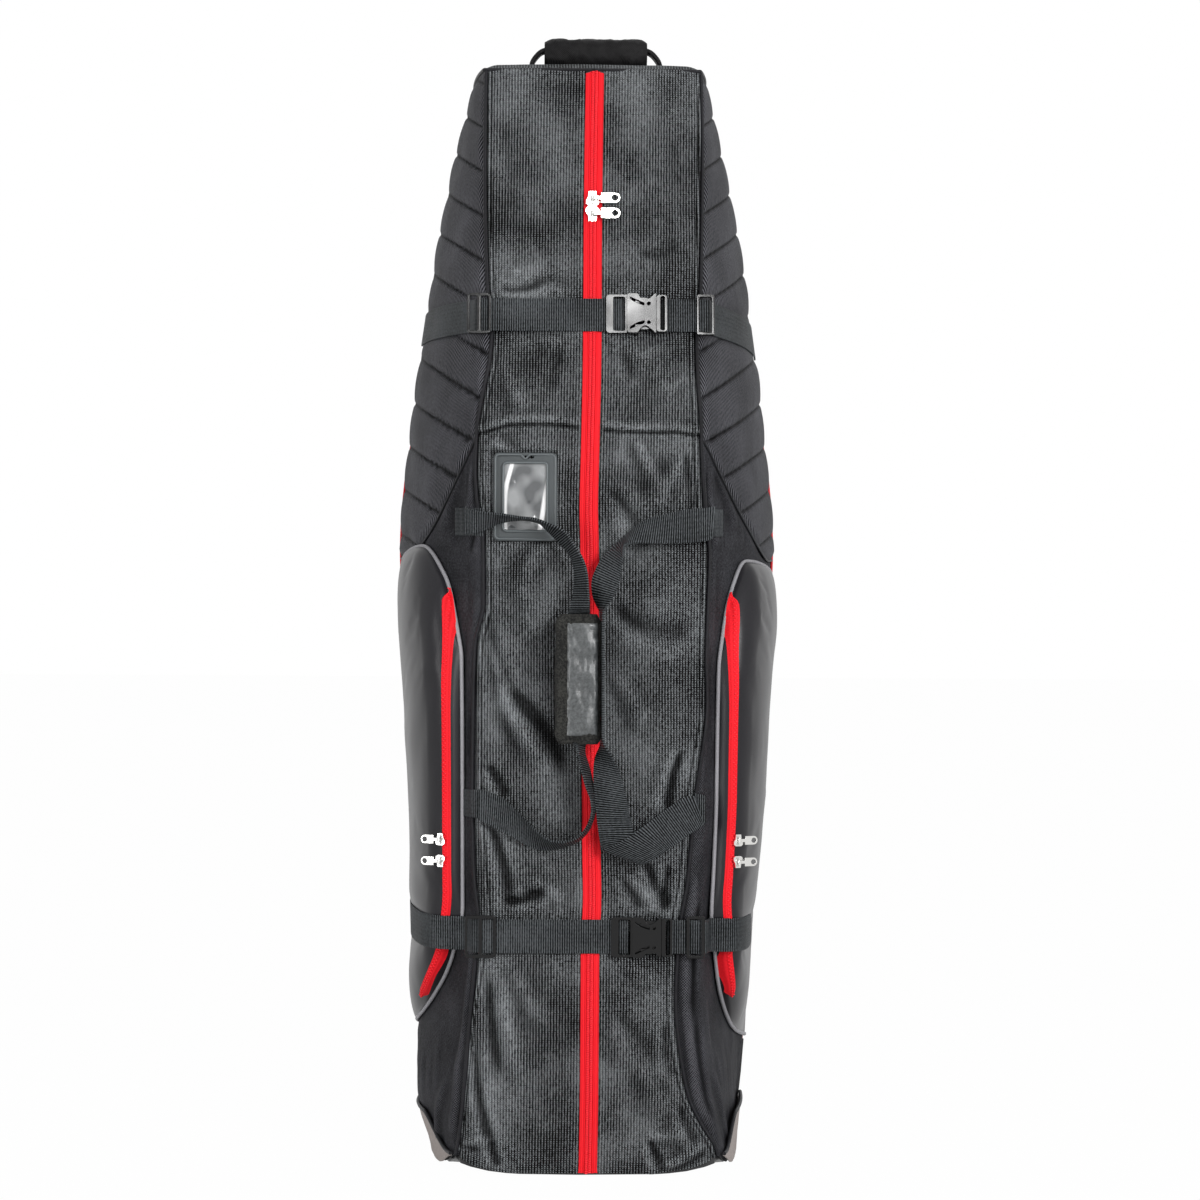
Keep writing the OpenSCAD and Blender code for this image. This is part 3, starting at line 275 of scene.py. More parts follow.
def seamArc(side, z):
    return frontX(z) + curveAt(seamStray[side], z)


def unitRows(rows):
    return rows / np.maximum(np.linalg.norm(rows, axis=-1, keepdims=True), 1e-12)


def distances(path):
    # from the path's start, or from each row's start in a grid
    steps = np.linalg.norm(np.diff(path, axis=-2), axis=-1)
    return np.concatenate([np.zeros(steps.shape[:-1] + (1,)), np.cumsum(steps, axis=-1)], -1)


cornerEase = {"step": 0.004, "weights": (1, 2, 3, 2, 1), "stations": 160}


def flankRow(height):
    return flankAt(height, np.linspace(0, 1, cornerEase["stations"]))


def fullArc(heights):
    # from the zip round to the rear corner
    lengths = [float(np.sum(np.linalg.norm(np.diff(flankRow(h), axis=0), axis=1))) for h in heights]
    return np.array([float(frontX(h)) + length for h, length in zip(heights, lengths)])


def wallRow(height, arc):
    # the outer wall at one height, arc metres round from the zip, with its front corner softened
    flank = flankRow(height)
    corner = frontX(height)
    far = distances(flank) + float(corner)
    step, weights = cornerEase["step"], cornerEase["weights"]
    total = 0
    for k, weight in enumerate(weights):
        a = np.clip(arc + (k - 2) * step, 0, far[-1])
        onFlank = np.stack([np.interp(a, far, column) for column in flank.T], 1)
        spot = np.where((a < corner)[:, None], frontAt(height, np.minimum(a, corner)), onFlank)
        total = total + weight * spot
        if weight == max(weights):
            plain = spot
    keep = unit((far[-1] - arc) / (2 * step))[:, None] * unit(arc / (2 * step))[:, None]
    return total / sum(weights) * keep + plain * (1 - keep)


def wallAlong(z, arc):
    # rows of the wall, each at its own height
    z, arc = np.broadcast_arrays(z, arc)
    return np.stack([wallRow(float(row[0]), along) for row, along in zip(z, arc)])


def lattice(u, v, cell, seed):
    # smooth seeded noise, -1 to 1
    chance = np.random.RandomState(seed).uniform(-1, 1, (64, 64))
    a, b = np.asarray(u) / cell, np.asarray(v) / cell
    i, j = np.floor(a).astype(int), np.floor(b).astype(int)
    fu, fv = easeIn(a - i), easeIn(b - j)
    low, high = (chance[i % 64, q % 64] * (1 - fu) + chance[(i + 1) % 64, q % 64] * fu for q in (j, j + 1))
    return low * (1 - fv) + high * fv


foldShape = {"past": 0.12, "fade": 0.3, "narrow": 0.75, "widen": 0.5, "furrow": 0.45, "furrowAt": 1.7, "furrowWide": 1.3}


def foldsAt(u, v, folds):
    # each fold in mm: from, to, half width, height, how far it bows; a furrow runs beside it
    fs = foldShape
    lift = np.zeros(np.broadcast(u, v).shape)
    for u0, v0, u1, v1, width, height, bow in mm(folds):
        du, dv = u1 - u0, v1 - v0
        span = math.hypot(du, dv)
        t = ((u - u0) * du + (v - v0) * dv) / span ** 2
        gap = ((u - u0) * dv - (v - v0) * du) / span - bow * 4 * unit(t) * (1 - unit(t))
        along = easeIn((t + fs["past"]) / fs["fade"]) * easeIn((1 + fs["past"] - t) / fs["fade"])
        wide = width * (fs["narrow"] + fs["widen"] * unit(t))
        lift += height * along * (bell(gap, wide) - fs["furrow"] * bell(gap - fs["furrowAt"] * wide, fs["furrowWide"] * wide))
    return lift


def pick(obj):
    bpy.ops.object.select_all(action="DESELECT")
    obj.select_set(True)
    bpy.context.view_layer.objects.active = obj


def linked(name, mesh):
    obj = bpy.data.objects.new(name, mesh)
    scene.collection.objects.link(obj)
    return obj


def editAll(obj, *moves):
    # edit-mode operators on the whole mesh
    pick(obj)
    bpy.ops.object.mode_set(mode="EDIT")
    bpy.ops.mesh.select_all(action="SELECT")
    for move, values in moves:
        move(**values)
    bpy.ops.object.mode_set(mode="OBJECT")


def applyModifier(obj, kind, **values):
    pick(obj)
    bpy.ops.object.modifier_add(type=kind)
    modifier = obj.modifiers[-1]
    for key, value in values.items():
        setattr(modifier, key, value)
    bpy.ops.object.modifier_apply(modifier=modifier.name)


def smoothShade(obj, angle=50):
    pick(obj)
    bpy.ops.object.shade_smooth_by_angle(angle=math.radians(angle))
    return obj


def readPoints(obj):
    points = np.empty(len(obj.data.vertices) * 3)
    obj.data.vertices.foreach_get("co", points)
    return points.reshape(-1, 3)


def setUv(obj, flat):
    # flat holds one place on the pattern for each vertex, in metres
    corners = np.empty(len(obj.data.loops), int)
    obj.data.loops.foreach_get("vertex_index", corners)
    obj.data.uv_layers[0].data.foreach_set("uv", flat[corners].reshape(-1))


def gridNormals(points):
    return unitRows(np.cross(np.gradient(points, axis=1), np.gradient(points, axis=0)))


def evened(grid, turns):
    for turn in range(turns):
        grid = np.pad(grid, 1, mode="edge")
        grid = (grid[1:-1, 1:-1] * 2 + grid[:-2, 1:-1] + grid[2:, 1:-1] + grid[1:-1, :-2] + grid[1:-1, 2:]) / 6
    return grid


# painted shading from the cloth's relief: darker in hollows as painted shade, lighter on ridges as painted highlight
paintedShadingScales = {"broad": (40, 0.0040, 0.6), "fine": (6, 0.0009, 0.7)}  # turns of evening, height that counts in full, share


def clothPanel(name, points, u, v, lift, outward, thick=0.005, warp=True):
    # a sheet of cloth on the wall's grid, raised by its lift; the painted shading attribute keeps where it stands proud
    # of or below what is round it, for painted highlight on ridges and painted shade in hollows
    if warp:
        points = sway(points)
    rows, cols = points.shape[:2]
    # painted shade in hollows and painted highlight on ridges, from how far the lift stands from its evened self
    rubbed = sum(np.clip((lift - evened(lift, turns)) / full, -1, 1) * share for turns, full, share in paintedShadingScales.values())
    u, v = np.broadcast_to(u, (rows, cols)), np.broadcast_to(v, (rows, cols))
    if np.sum(gridNormals(points)[rows // 2, cols // 2] * outward) < 0:
        points, u, v, lift, rubbed = (grid[:, ::-1] for grid in (points, u, v, lift, rubbed))
    bpy.ops.mesh.primitive_grid_add(x_subdivisions=cols - 1, y_subdivisions=rows - 1, size=1)
    obj = bpy.context.object
    obj.name = obj.data.name = name
    obj.data.vertices.foreach_set("co", (points + gridNormals(points) * lift[..., None]).reshape(-1))
    setUv(obj, np.stack([u.reshape(-1), v.reshape(-1)], 1))
    obj.data.update()
    obj.data.attributes.new("rubbed", "FLOAT", "POINT").data.foreach_set("value", rubbed.reshape(-1).astype(np.float32))
    if thick:
        applyModifier(obj, "SOLIDIFY", thickness=thick, offset=-1, use_rim=True)
    return smoothShade(obj, 60)


def loft(name, rings, u=None, capped=True):
    # a closed skin through rings of points
    rings = np.asarray(rings, float)
    n, m = rings.shape[:2]
    faces = [[i * m + j, i * m + (j + 1) % m, (i + 1) * m + (j + 1) % m, (i + 1) * m + j] for i in range(n - 1) for j in range(m)]
    if capped:
        faces += [list(range(m))[::-1], [(n - 1) * m + j for j in range(m)]]
    mesh = bpy.data.meshes.new(name)
    mesh.from_pydata(rings.reshape(-1, 3).tolist(), [], faces)
    mesh.uv_layers.new(name="UVMap")
    obj = linked(name, mesh)
    around = np.arange(m) / m * 0.01 if u is None else u
    setUv(obj, np.stack([np.tile(around, n), np.repeat(distances(rings.mean(1)), m)], 1))
    editAll(obj, (bpy.ops.mesh.normals_make_consistent, {"inside": False}))
    return obj


def bandSection(width, thick, edge=5, flat=6):
    # rounded section of webbing, across and through
    points = []
    for side in (1, -1):
        points += [(side * (width / 2 - thick / 2) * (1 - 2 * k / flat), side * thick / 2) for k in range(flat + 1)]
        for k in range(1, edge):
            turn = math.pi * k / edge
            points.append((-side * (width / 2 - thick / 2 + thick / 2 * math.sin(turn)), side * thick / 2 * math.cos(turn)))
    return np.array(points)


def webbing(name, centre, across, through, width, thick):
    # flat webbing along a path, with its width and its thickness directions
    across, through = np.broadcast_to(across, centre.shape), np.broadcast_to(through, centre.shape)
    section = bandSection(width, thick)
    rings = centre[:, None] + across[:, None] * section[None, :, :1] + through[:, None] * section[None, :, 1:]
    return smoothShade(loft(name, rings, u=section[:, 0]))


def pipeAlong(name, path, radius, outward, count=8):
    outward = np.broadcast_to(outward, path.shape)
    ahead = unitRows(np.gradient(path, axis=0))
    out = unitRows(outward - ahead * np.sum(outward * ahead, axis=1, keepdims=True))
    other = np.cross(ahead, out)
    turn = np.linspace(0, 2 * math.pi, count, endpoint=False)
    c, s = np.cos(turn)[None, :, None], np.sin(turn)[None, :, None]
    return smoothShade(loft(name, path[:, None] + radius * (c * out[:, None] + s * other[:, None]), u=turn * radius), 60)


def resample(path, step, *others):
    path = np.asarray(path, float)
    far = distances(path)
    at = np.linspace(0, far[-1], max(3, int(round(far[-1] / step)) + 1))
    fresh = [np.stack([np.interp(at, far, column) for column in np.asarray(rows, float).T], 1) for rows in (path, *others)]
    return fresh if others else fresh[0]


def smoothed(path, turns):
    for turn in range(turns):
        path = np.concatenate([path[:1], path[1:-1] * 0.5 + (path[:-2] + path[2:]) * 0.25, path[-1:]])
    return path


def toothBlock(x, y, z, soft=0.0004):
    # one tooth with softened edges, as points and faces
    bpy.ops.mesh.primitive_cube_add(size=1)
    obj = bpy.context.object
    obj.data.transform(Matrix.Diagonal((x, y, z, 1)))
    applyModifier(obj, "BEVEL", width=soft, segments=1, limit_method="NONE")
    shape = (np.array([v.co for v in obj.data.vertices], float), [list(f.vertices) for f in obj.data.polygons])
    bpy.data.objects.remove(obj, do_unlink=True)
    return shape


def coilOf(name, tooth, places):
    # copies of one tooth, each at its own place: centre and three axes
    points, faces = tooth
    mesh = bpy.data.meshes.new(name)
    copies = np.concatenate([c + points @ np.stack(axes) for c, *axes in places])
    mesh.from_pydata(copies.tolist(), [], [[i + k * len(points) for i in face] for k in range(len(places)) for face in faces])
    return smoothShade(linked(name, mesh))


def linear(rgb):
    return tuple(c / 255 / 12.92 if c <= 10 else ((c / 255 + 0.055) / 1.055) ** 2.4 for c in rgb)


def newMaterial(name, colour, rough, specular=0.5, **sockets):
    material = bpy.data.materials.new(name)
    material.use_nodes = True
    shader = material.node_tree.nodes["Principled BSDF"]
    sockets.update(Base_Color=(*linear(colour), 1), Roughness=rough, Specular_IOR_Level=specular)
    for socket, value in sockets.items():
        shader.inputs[socket.replace("_", " ")].default_value = value
    return material, shader


def addNode(material, kind, **values):
    node = material.node_tree.nodes.new("ShaderNode" + kind)
    for key, value in values.items():
        if key.startswith("in"):
            node.inputs[int(key[2:])].default_value = value
        else:
            setattr(node, key, value)
    return node


def join(material, outlet, inlet):
    material.node_tree.links.new(outlet, inlet)


def mathNode(material, operation, *values):
    node = addNode(material, "Math", operation=operation)
    for slot, value in enumerate(values):
        if isinstance(value, (int, float)):
            node.inputs[slot].default_value = value
        else:
            join(material, value, node.inputs[slot])
    return node.outputs[0]


def noiseNode(material, place, outlet="Object", **values):
    noise = addNode(material, "TexNoise", **values)
    join(material, place.outputs[outlet], noise.inputs[0])
    return noise.outputs[0]


def mixNode(material, factor, low, high, **values):
    mix = addNode(material, "MixRGB", **values)
    join(material, factor, mix.inputs[0])
    for slot, colour in ((1, low), (2, high)):
        if isinstance(colour, tuple):
            mix.inputs[slot].default_value = (*colour, 1)
        else:
            join(material, colour, mix.inputs[slot])
    return mix.outputs[0]


def addRelief(material, shader, height, bump, deep):
    relief = addNode(material, "Bump")
    relief.inputs["Strength"].default_value = bump
    relief.inputs["Distance"].default_value = deep
    join(material, height, relief.inputs["Height"])
    join(material, relief.outputs[0], shader.inputs["Normal"])


def clothMaterial(name, dark, light, weave, pitch, rough=0.85, bump=0.6, deep=0.0004, vary=0.12, onObject=False,
                  rows=None, crest=1.0, paintedShadingGain=0.3, **sockets):
    # woven cloth: yarns at their real pitch, uneven dye and a soft nap, with painted shade in its hollows and painted
    # highlight on its ridges
    material, shader = newMaterial(name, light, rough, **sockets)

    def calc(operation, *values):
        return mathNode(material, operation, *values)

    place = addNode(material, "TexCoord")
    spread = addNode(material, "SeparateXYZ")
    join(material, place.outputs["Object" if onObject else "UV"], spread.inputs[0])
    u, v = spread.outputs[0], spread.outputs[2 if onObject else 1]
    if onObject:
        u = calc("ADD", u, spread.outputs[1])
    shake = calc("MULTIPLY", noiseNode(material, place, in2=140.0, in3=2.0), 1.6)
    a = calc("ADD", calc("MULTIPLY", u, 2 * math.pi / pitch), shake)
    b = calc("MULTIPLY", v, 2 * math.pi / (rows or pitch))
    if weave == "rib":
        wave = calc("MULTIPLY", calc("SINE", a), calc("ADD", calc("MULTIPLY", calc("SINE", b), 0.6), 0.6))
    elif weave == "twill":
        wave = calc("SINE", calc("ADD", a, b))
    elif weave == "cross":
        wave = calc("MULTIPLY", calc("SINE", b), calc("ADD", calc("MULTIPLY", calc("SINE", a), 0.25), 0.9))
    else:
        wave = calc("MULTIPLY", calc("SINE", a), calc("SINE", b))
    level = calc("POWER", calc("MAXIMUM", calc("ADD", calc("MULTIPLY", wave, 0.5), 0.5), 0.0), crest)
    patches = noiseNode(material, place, in2=14.0, in3=4.0)
    flecks = noiseNode(material, place, in2=420.0, in3=2.0)
    tone = level
    for uneven in (patches, flecks):
        tone = calc("ADD", tone, calc("MULTIPLY", calc("SUBTRACT", uneven, 0.5), vary * 6))
    # painted shade in hollows and painted highlight on ridges scale the tone
    rubbed = addNode(material, "Attribute", attribute_name="rubbed")
    tone = calc("MULTIPLY", tone, calc("ADD", calc("MULTIPLY", rubbed.outputs[2], paintedShadingGain), 1.0))
    join(material, mixNode(material, tone, linear(dark), linear(light), use_clamp=True), shader.inputs["Base Color"])
    addRelief(material, shader, calc("ADD", level, calc("MULTIPLY", flecks, 0.5)), bump, deep)


def plainMaterial(name, colour, rough, grain=300.0, bump=0.25, deep=0.0003, vary=0.12, **sockets):
    # moulded plastic, rubber or metal: fine grain, uneven gloss and rubbed tone
    material, shader = newMaterial(name, colour, rough, **sockets)
    place = addNode(material, "TexCoord")
    fine = noiseNode(material, place, in2=grain, in3=3.0)
    broad = noiseNode(material, place, in2=22.0, in3=4.0)
    low, high = (tuple(min(1, c * (1 + way * vary * 1.5)) for c in linear(colour)) for way in (-1, 1))
    join(material, mixNode(material, broad, low, high), shader.inputs["Base Color"])
    uneven = mathNode(material, "MULTIPLY", mathNode(material, "SUBTRACT", broad, 0.5), 0.25)
    join(material, mathNode(material, "ADD", uneven, rough), shader.inputs["Roughness"])
    addRelief(material, shader, fine, bump, deep)


# where a gain for the painted shading is given, it sets how strongly painted shade and painted highlight follow each
# cloth's relief
clothMaterial("ribbedPolyester", (1, 1, 1), (154, 158, 161), "rib", 0.0032, rows=0.0025, rough=0.7, bump=1.0, deep=0.0007,
              vary=0.15, crest=2.7, paintedShadingGain=0.62, specular=0.07)
clothMaterial("quiltedTwill", (2, 2, 3), (104, 104, 110), "twill", 0.0040, rows=0.0054, rough=0.6, bump=0.9, crest=2.3,
              paintedShadingGain=0.9, specular=0.08)
clothMaterial("sideCloth", (2, 2, 3), (88, 88, 93), "plain", 0.0030, rough=0.7, crest=2.0, paintedShadingGain=0.7, specular=0.06)
clothMaterial("backCloth", (8, 8, 10), (78, 78, 82), "plain", 0.0030, rough=0.8, bump=0.5, specular=0.08)
clothMaterial("pocketSatin", (20, 19, 22), (42, 41, 45), "cross", 0.0011, rough=0.34, bump=0.15, deep=0.0002, vary=0.06,
              specular=0.24)
clothMaterial("blackWebbing", (4, 5, 5), (98, 102, 105), "cross", 0.0046, rows=0.0026, rough=0.5, bump=0.9, deep=0.0007,
              vary=0.14, crest=1.8, specular=0.05)
clothMaterial("pipingCloth", (4, 4, 5), (44, 44, 48), "twill", 0.0018, rough=0.45, bump=0.4, specular=0.14)
clothMaterial("greyPiping", (124, 123, 127), (172, 171, 176), "twill", 0.0016, rough=0.5, bump=0.4)
clothMaterial("redTape", (212, 8, 24), (255, 30, 44), "rib", 0.0024, rows=0.0018, rough=0.7, bump=0.5, vary=0.05, paintedShadingGain=0.15,
              specular=0.25)
clothMaterial("redPiping", (180, 14, 28), (236, 30, 44), "twill", 0.0016, rough=0.6, bump=0.4, vary=0.06)
clothMaterial("cornerCloth", (150, 142, 138), (186, 177, 173), "plain", 0.0016, rough=0.75, bump=0.4, specular=0.2)
clothMaterial("gripSatin", (34, 36, 37), (100, 103, 104), "cross", 0.0013, rough=0.3, bump=0.2, deep=0.0002, vary=0.2, paintedShadingGain=0.9)
clothMaterial("nappedBorder", (3, 3, 4), (66, 66, 62), "plain", 0.0016, rough=1.0, bump=1.0, deep=0.0014, vary=0.5, onObject=True)
clothMaterial("padCloth", (2, 2, 2), (40, 39, 40), "plain", 0.0022, rough=0.5, bump=0.5, onObject=True, specular=0.1)
plainMaterial("redCoil", (255, 30, 46), 0.45, bump=0.2, vary=0.08, specular=0.4)
plainMaterial("acetal", (3, 3, 4), 0.17, bump=0.02, specular=0.34)
plainMaterial("baseMoulding", (24, 24, 26), 0.5, bump=0.4)
plainMaterial("tyreRubber", (22, 22, 24), 0.7, bump=0.35)
plainMaterial("axleSteel", (176, 178, 182), 0.3, Metallic=1.0, bump=0.08)
plainMaterial("brightNickel", (222, 221, 218), 0.2, Metallic=1.0, bump=0.1, vary=0.1)
plainMaterial("frameRubber", (66, 71, 73), 0.42, bump=0.3)
plainMaterial("rimRubber", (92, 98, 100), 0.34, bump=0.2)

# film colours: dark film, pale painted sheen, white painted glints, and the steps of each ramp
filmLook = {"dark": (84, 86, 88), "pale": (150, 152, 153), "paintedGlint": (250, 250, 250), "swirl": (0.42, 0.60), "streak": (0.93, 0.985)}


def rampNode(material, factor, stops, low, high):
    ramp = addNode(material, "ValToRGB")
    for element, stop, colour in zip(ramp.color_ramp.elements, stops, (low, high)):
        element.position, element.color = stop, (*colour, 1)
    join(material, factor, ramp.inputs[0])
    return ramp.outputs[0]


def filmMaterial(name):
    # clear film over a card: smooth, with painted sheen in pale patches and painted glints in thin streaks where it has
    # buckled
    material, shader = newMaterial(name, filmLook["dark"], 0.12, Coat_Weight=0.8, Coat_Roughness=0.05)
    place = addNode(material, "TexCoord")
    swirl = noiseNode(material, place, "UV", in2=52.0, in3=3.0, in5=1.2)
    streak = addNode(material, "TexWave", wave_type="BANDS", bands_direction="X", in1=9.0, in2=9.0, in3=1.0, in4=0.6)
    join(material, place.outputs["UV"], streak.inputs[0])
    # painted sheen in pale patches, and painted glints along thin streaks
    filmWithPaintedSheen = rampNode(material, swirl, filmLook["swirl"], linear(filmLook["dark"]), linear(filmLook["pale"]))
    paintedGlint = rampNode(material, streak.outputs[1], filmLook["streak"], (0, 0, 0), (1, 1, 1))
    join(material, mixNode(material, paintedGlint, filmWithPaintedSheen, linear(filmLook["paintedGlint"])), shader.inputs["Base Color"])


filmMaterial("clearFilm")


def dress(obj, finish, body, slot, *replaced):
    # a finished piece gets its cloth or plastic, the body it moves with and the solids it stands for
    obj.data.materials.clear()
    obj.data.materials.append(bpy.data.materials[finish])
    if body:
        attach(obj, body)
    if replaced:
        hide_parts(*replaced)
    return obj


def dressNode(finish, *names):
    for name in names:
        for place in cadNodes[name].material_slots:
            place.material = bpy.data.materials[finish]


def crisped(name, finish, body, slot, soft):
    # a hard part as its solid has it, with its edges eased so that they catch the light
    obj = linked(name + "_eased", cadNodes[name].data.copy())
    obj.data.name = obj.name
    editAll(obj, (bpy.ops.mesh.remove_doubles, {"threshold": 0.00002}),
            (bpy.ops.mesh.dissolve_limited, {"angle_limit": math.radians(2)}))
    applyModifier(obj, "BEVEL", width=soft, segments=2, limit_method="ANGLE", angle_limit=math.radians(38))
    smoothShade(obj, 35)
    applyModifier(obj, "WEIGHTED_NORMAL", keep_sharp=True)
    return dress(obj, finish, body, slot, name)


print("materials ready")

front = {
    "step": 0.0023, "inner": 0.0103, "join": 0.56, "hem": 0.0075, "hemRise": 0.0012, "hemStitch": 0.0007, "stitch": 0.0042,
    "puff": 0.0035, "puffReach": 0.11, "waves": 0.0013, "deepen": 1.5, "calmAbove": 0.84, "seamDip": 0.0022, "seamEase": 0.016,
    "footTuck": 0.005, "strapPress": 0.001, "pressWide": 0.024, "foldRise": 0.0016, "foldStitch": 0.0022,
    "window": (0.073, 0.751, 0.041, 0.054), "windowDip": 0.0008, "windowEase": 0.006, "thin": 0.0002,
}
frontLevels = (("lower", case["low"], front["join"], (0.29, 0.40)), ("upper", front["join"], case["top"], (0.92, 0.805)))
frontParts = [(side, word, *level) for side, word in sides for level in frontLevels]
frontTree = treeOf(*["front_" + level + "_" + word for level in ("upper", "flap", "lower") for side, word in sides])
crossSeam = {-1: placeOn(frontTree, photoPoints["crossSeamLeft"]), 1: placeOn(frontTree, photoPoints["crossSeamRight"])}
crossShape = {"bow": 0.004, "span": 0.126, "slip": 0.006, "slipFrom": 0.085, "slipOver": 0.04, "stitch": 0.0036, "pucker": 0.0006}
# folds seen from the front, x away from the zip
frontFolds = {
    -1: [(-116, 628, -93, 538, 10, -7, 6), (-93, 538, -26, 452, 11, -6, -8), (-112, 590, -62, 470, 8, 5, 4),
         (-112, 455, -92, 422, 6, -5, 0), (-110, 390, -88, 290, 7, -5, -4), (-128, 150, -108, 30, 6, -6, 4),
         (-94, 219, -76, 112, 12, 4.5, 4), (-112, 225, -100, 120, 6, -3.5, 2), (-101, 982, -54, 992, 6, -6, 6),
         (-54, 992, -12, 985, 8, -4, -3), (-90, 1000, -50, 1010, 9, 4, 4), (-60, 925, -12, 910, 9, 4.5, -3),
         (-104, 905, -75, 850, 8, 4, 0), (-30, 925, -45, 870, 7, -3.5, 0), (-50, 700, -80, 640, 11, 4, 3),
         (-85, 235, -40, 170, 10, 2.8, 5), (-98, 1170, -82, 1060, 12, -3, 4), (-70, 330, -30, 310, 8, 4, 0),
         (-95, 305, -50, 320, 6, -4.5, 4), (-143, 25, -108, 36, 6, 4, -3), (-108, 36, -100, 8, 5, -4, 0),
         (-86, 790, -110, 815, 7, 3.5, 0), (-60, 600, -70, 500, 16, -3, 5), (-40, 1100, -85, 1085, 14, 2.2, 3)],
    1: [(24, 632, 112, 604, 13, -6, 10), (100, 470, 86, 405, 6, -6.5, 2), (60, 350, 84, 300, 7, -6, 0),
        (40, 335, 64, 306, 6, 5, 0), (86, 345, 82, 292, 6, -5.5, 0), (31, 185, 86, 127, 12, -4.5, 4),
        (60, 125, 84, 70, 10, 3.5, 2), (85, 170, 94, 110, 6, -4.5, 2), (102, 80, 130, 25, 6, -4.5, 4),
        (52, 1020, 96, 1036, 10, -5, 4), (14, 938, 70, 905, 9, 4.5, 6), (30, 932, 45, 880, 7, -3.5, 0),
        (20, 760, 60, 700, 10, -4.5, -6), (50, 815, 75, 765, 7, 3, 0), (18, 560, 60, 500, 10, 3.5, -6),
        (98, 790, 70, 740, 9, 3.5, 0), (104, 800, 114, 735, 5, -3.5, 0), (30, 260, 70, 215, 9, 3, 3),
        (68, 38, 84, 6, 5, -4.5, 0), (80, 10, 130, 32, 6, 4, 4), (66, 46, 110, 48, 8, 3, 3),
        (90, 1150, 100, 1060, 12, -2.6, 2), (20, 1085, 70, 1105, 14, 3, 4), (70, 900, 95, 870, 12, 4, 4)],
}
# how far from the front seam its second, stitched-down fold runs, by height
secondRow = {
    -1: mm([(0, 3), (140, 4), (230, 9), (350, 15), (450, 12), (600, 8.5), (800, 7.5), (1240, 6.5)]),
    1: mm([(0, 6), (250, 10), (500, 9), (800, 8.5), (1240, 8)]),
}


def frontGrid(side, low, high):
    z = np.linspace(low, high, int((high - low) / front["step"]) + 2)[:, None]
    edge = seamArc(side, z) - front["thin"]
    near, wide = np.linspace(0, 0.010, 9)[None], np.linspace(0, 0.020, 19)[None]  # finer beside the zip and the seam
    middle = between(front["inner"] + 0.010, edge - 0.020, np.linspace(0, 1, 32)[None, 1:-1])
    x = np.concatenate([front["inner"] + near + 0 * z, middle, edge - 0.020 + wide], 1)
    points = wallAlong(z, x)
    points[..., 0] *= side
    points[..., 2] += footLift(z, (x / edge) ** 5)
    points[..., 1] += front["footTuck"] * footTuck(z)
    return points, x, z + 0 * x, edge - x


def strapPress(z, middle):
    return bell(z - middle, front["pressWide"], 4)


def crossSeamZ(side, x):
    slip = crossShape["slip"] * easeIn((x - crossShape["slipFrom"]) / crossShape["slipOver"])
    return crossSeam[side].z - crossShape["bow"] * np.sin(math.pi * x / crossShape["span"]) * side - slip


def frontLift(side, x, z, toSeam):
    across, fromZip = x * side, x - front["inner"]
    lift = (lattice(across, z, 0.045, 5 + side) + lattice(across, z * 0.7, 0.018, 9 + side) * 0.35) * front["waves"]
    lift += front["puff"] * np.sin(math.pi * unit(toSeam / front["puffReach"])) ** 0.8
    lift += foldsAt(across, z, frontFolds[side]) * front["deepen"] * (1 - 0.45 * easeIn((z - front["calmAbove"]) / 0.05))
    if side < 0:
        middleX, middleZ, halfX, halfZ = front["window"]
        window = fades(front["windowEase"], halfX - np.abs(x - middleX), halfZ - np.abs(z - middleZ))
        lift = lift * (1 - window) - front["windowDip"] * window
    lift *= easeIn(fromZip / 0.03) * easeIn(toSeam / front["seamEase"])
    for middle in (case["upperStrap"], case["lowerStrap"]):
        press = strapPress(z, middle)
        lift = lift * (1 - press) - front["strapPress"] * press
    # turned hem beside the zip, with its row of stitches
    lift += front["hemRise"] * easeIn((front["hem"] - fromZip) / 0.002 + 0.5) * easeIn((fromZip + 0.0008) / 0.002)
    stitch = np.maximum(0, np.sin(2 * math.pi * z / front["stitch"])) ** 0.5
    lift -= front["hemStitch"] * bell(fromZip - front["hem"] + 0.0015, 0.0011) * (0.5 + 0.5 * stitch)
    # cross seam, with the cloth standing up above it
    gap = z - crossSeamZ(side, x)
    lift += crossShape["stitch"] * (0.9 * bell(gap - 0.006, 0.006) - 1.2 * bell(gap, 0.0021)) * easeIn(fromZip / 0.006)
    lift += crossShape["pucker"] * lattice(across, z * 0.15, 0.011, 31) * bell(gap, 0.012)
    lift -= front["seamDip"] * bell(toSeam, 0.004)
    away = toSeam - curveAt(secondRow[side], z)
    return lift + front["foldRise"] * bell(away + 0.0028, 0.0020) - front["foldStitch"] * bell(away, 0.0011)


def bendAtFlap(piece):
    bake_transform(piece)


outwardFront = np.array((0, -1, 0))
for side, word, level, low, high, bend in frontParts:
    points, x, z, toSeam = frontGrid(side, low, high)
    panel = clothPanel("frontCloth_" + word + "_" + level, points, x * side, z, frontLift(side, x, z, toSeam), outwardFront)
    solids = ["front_" + level + "_" + word] + (["front_flap_" + word] if level == "upper" else [])
    dress(panel, "ribbedPolyester", None, "mesh_polyester", *solids)
    bendAtFlap(panel)
print("front panels laid")

mainZip = {
    "pitch": 0.0020, "set": 0.0008, "row": 0.003, "tooth": (0.0034, 0.0013, 0.0015), "toothX": 0.00185, "toothOut": 0.0012,
    "section": mm([(0.12, 0.3), (1.2, 0.5), (2.6, 0.5), (3.7, 0.3), (4.1, 1.0), (4.5, 1.2), (5.0, 1.0), (5.6, 0.2), (6.4, 0.1),
                   (8.2, 0.1), (11.5, -0.4)]),  # away from the middle, height of the tape
}


def zipHalf(side, low, high):
    z = np.linspace(low, high, int((high - low) / mainZip["row"]) + 2)[:, None]
    x, rise = mainZip["section"].T[:, None]
    points = frontAt(z, x * side)
    points[..., 1] += front["footTuck"] * 0.6 * footTuck(z)
    return sway(points), x + 0 * z, z + 0 * x, rise + 0 * z


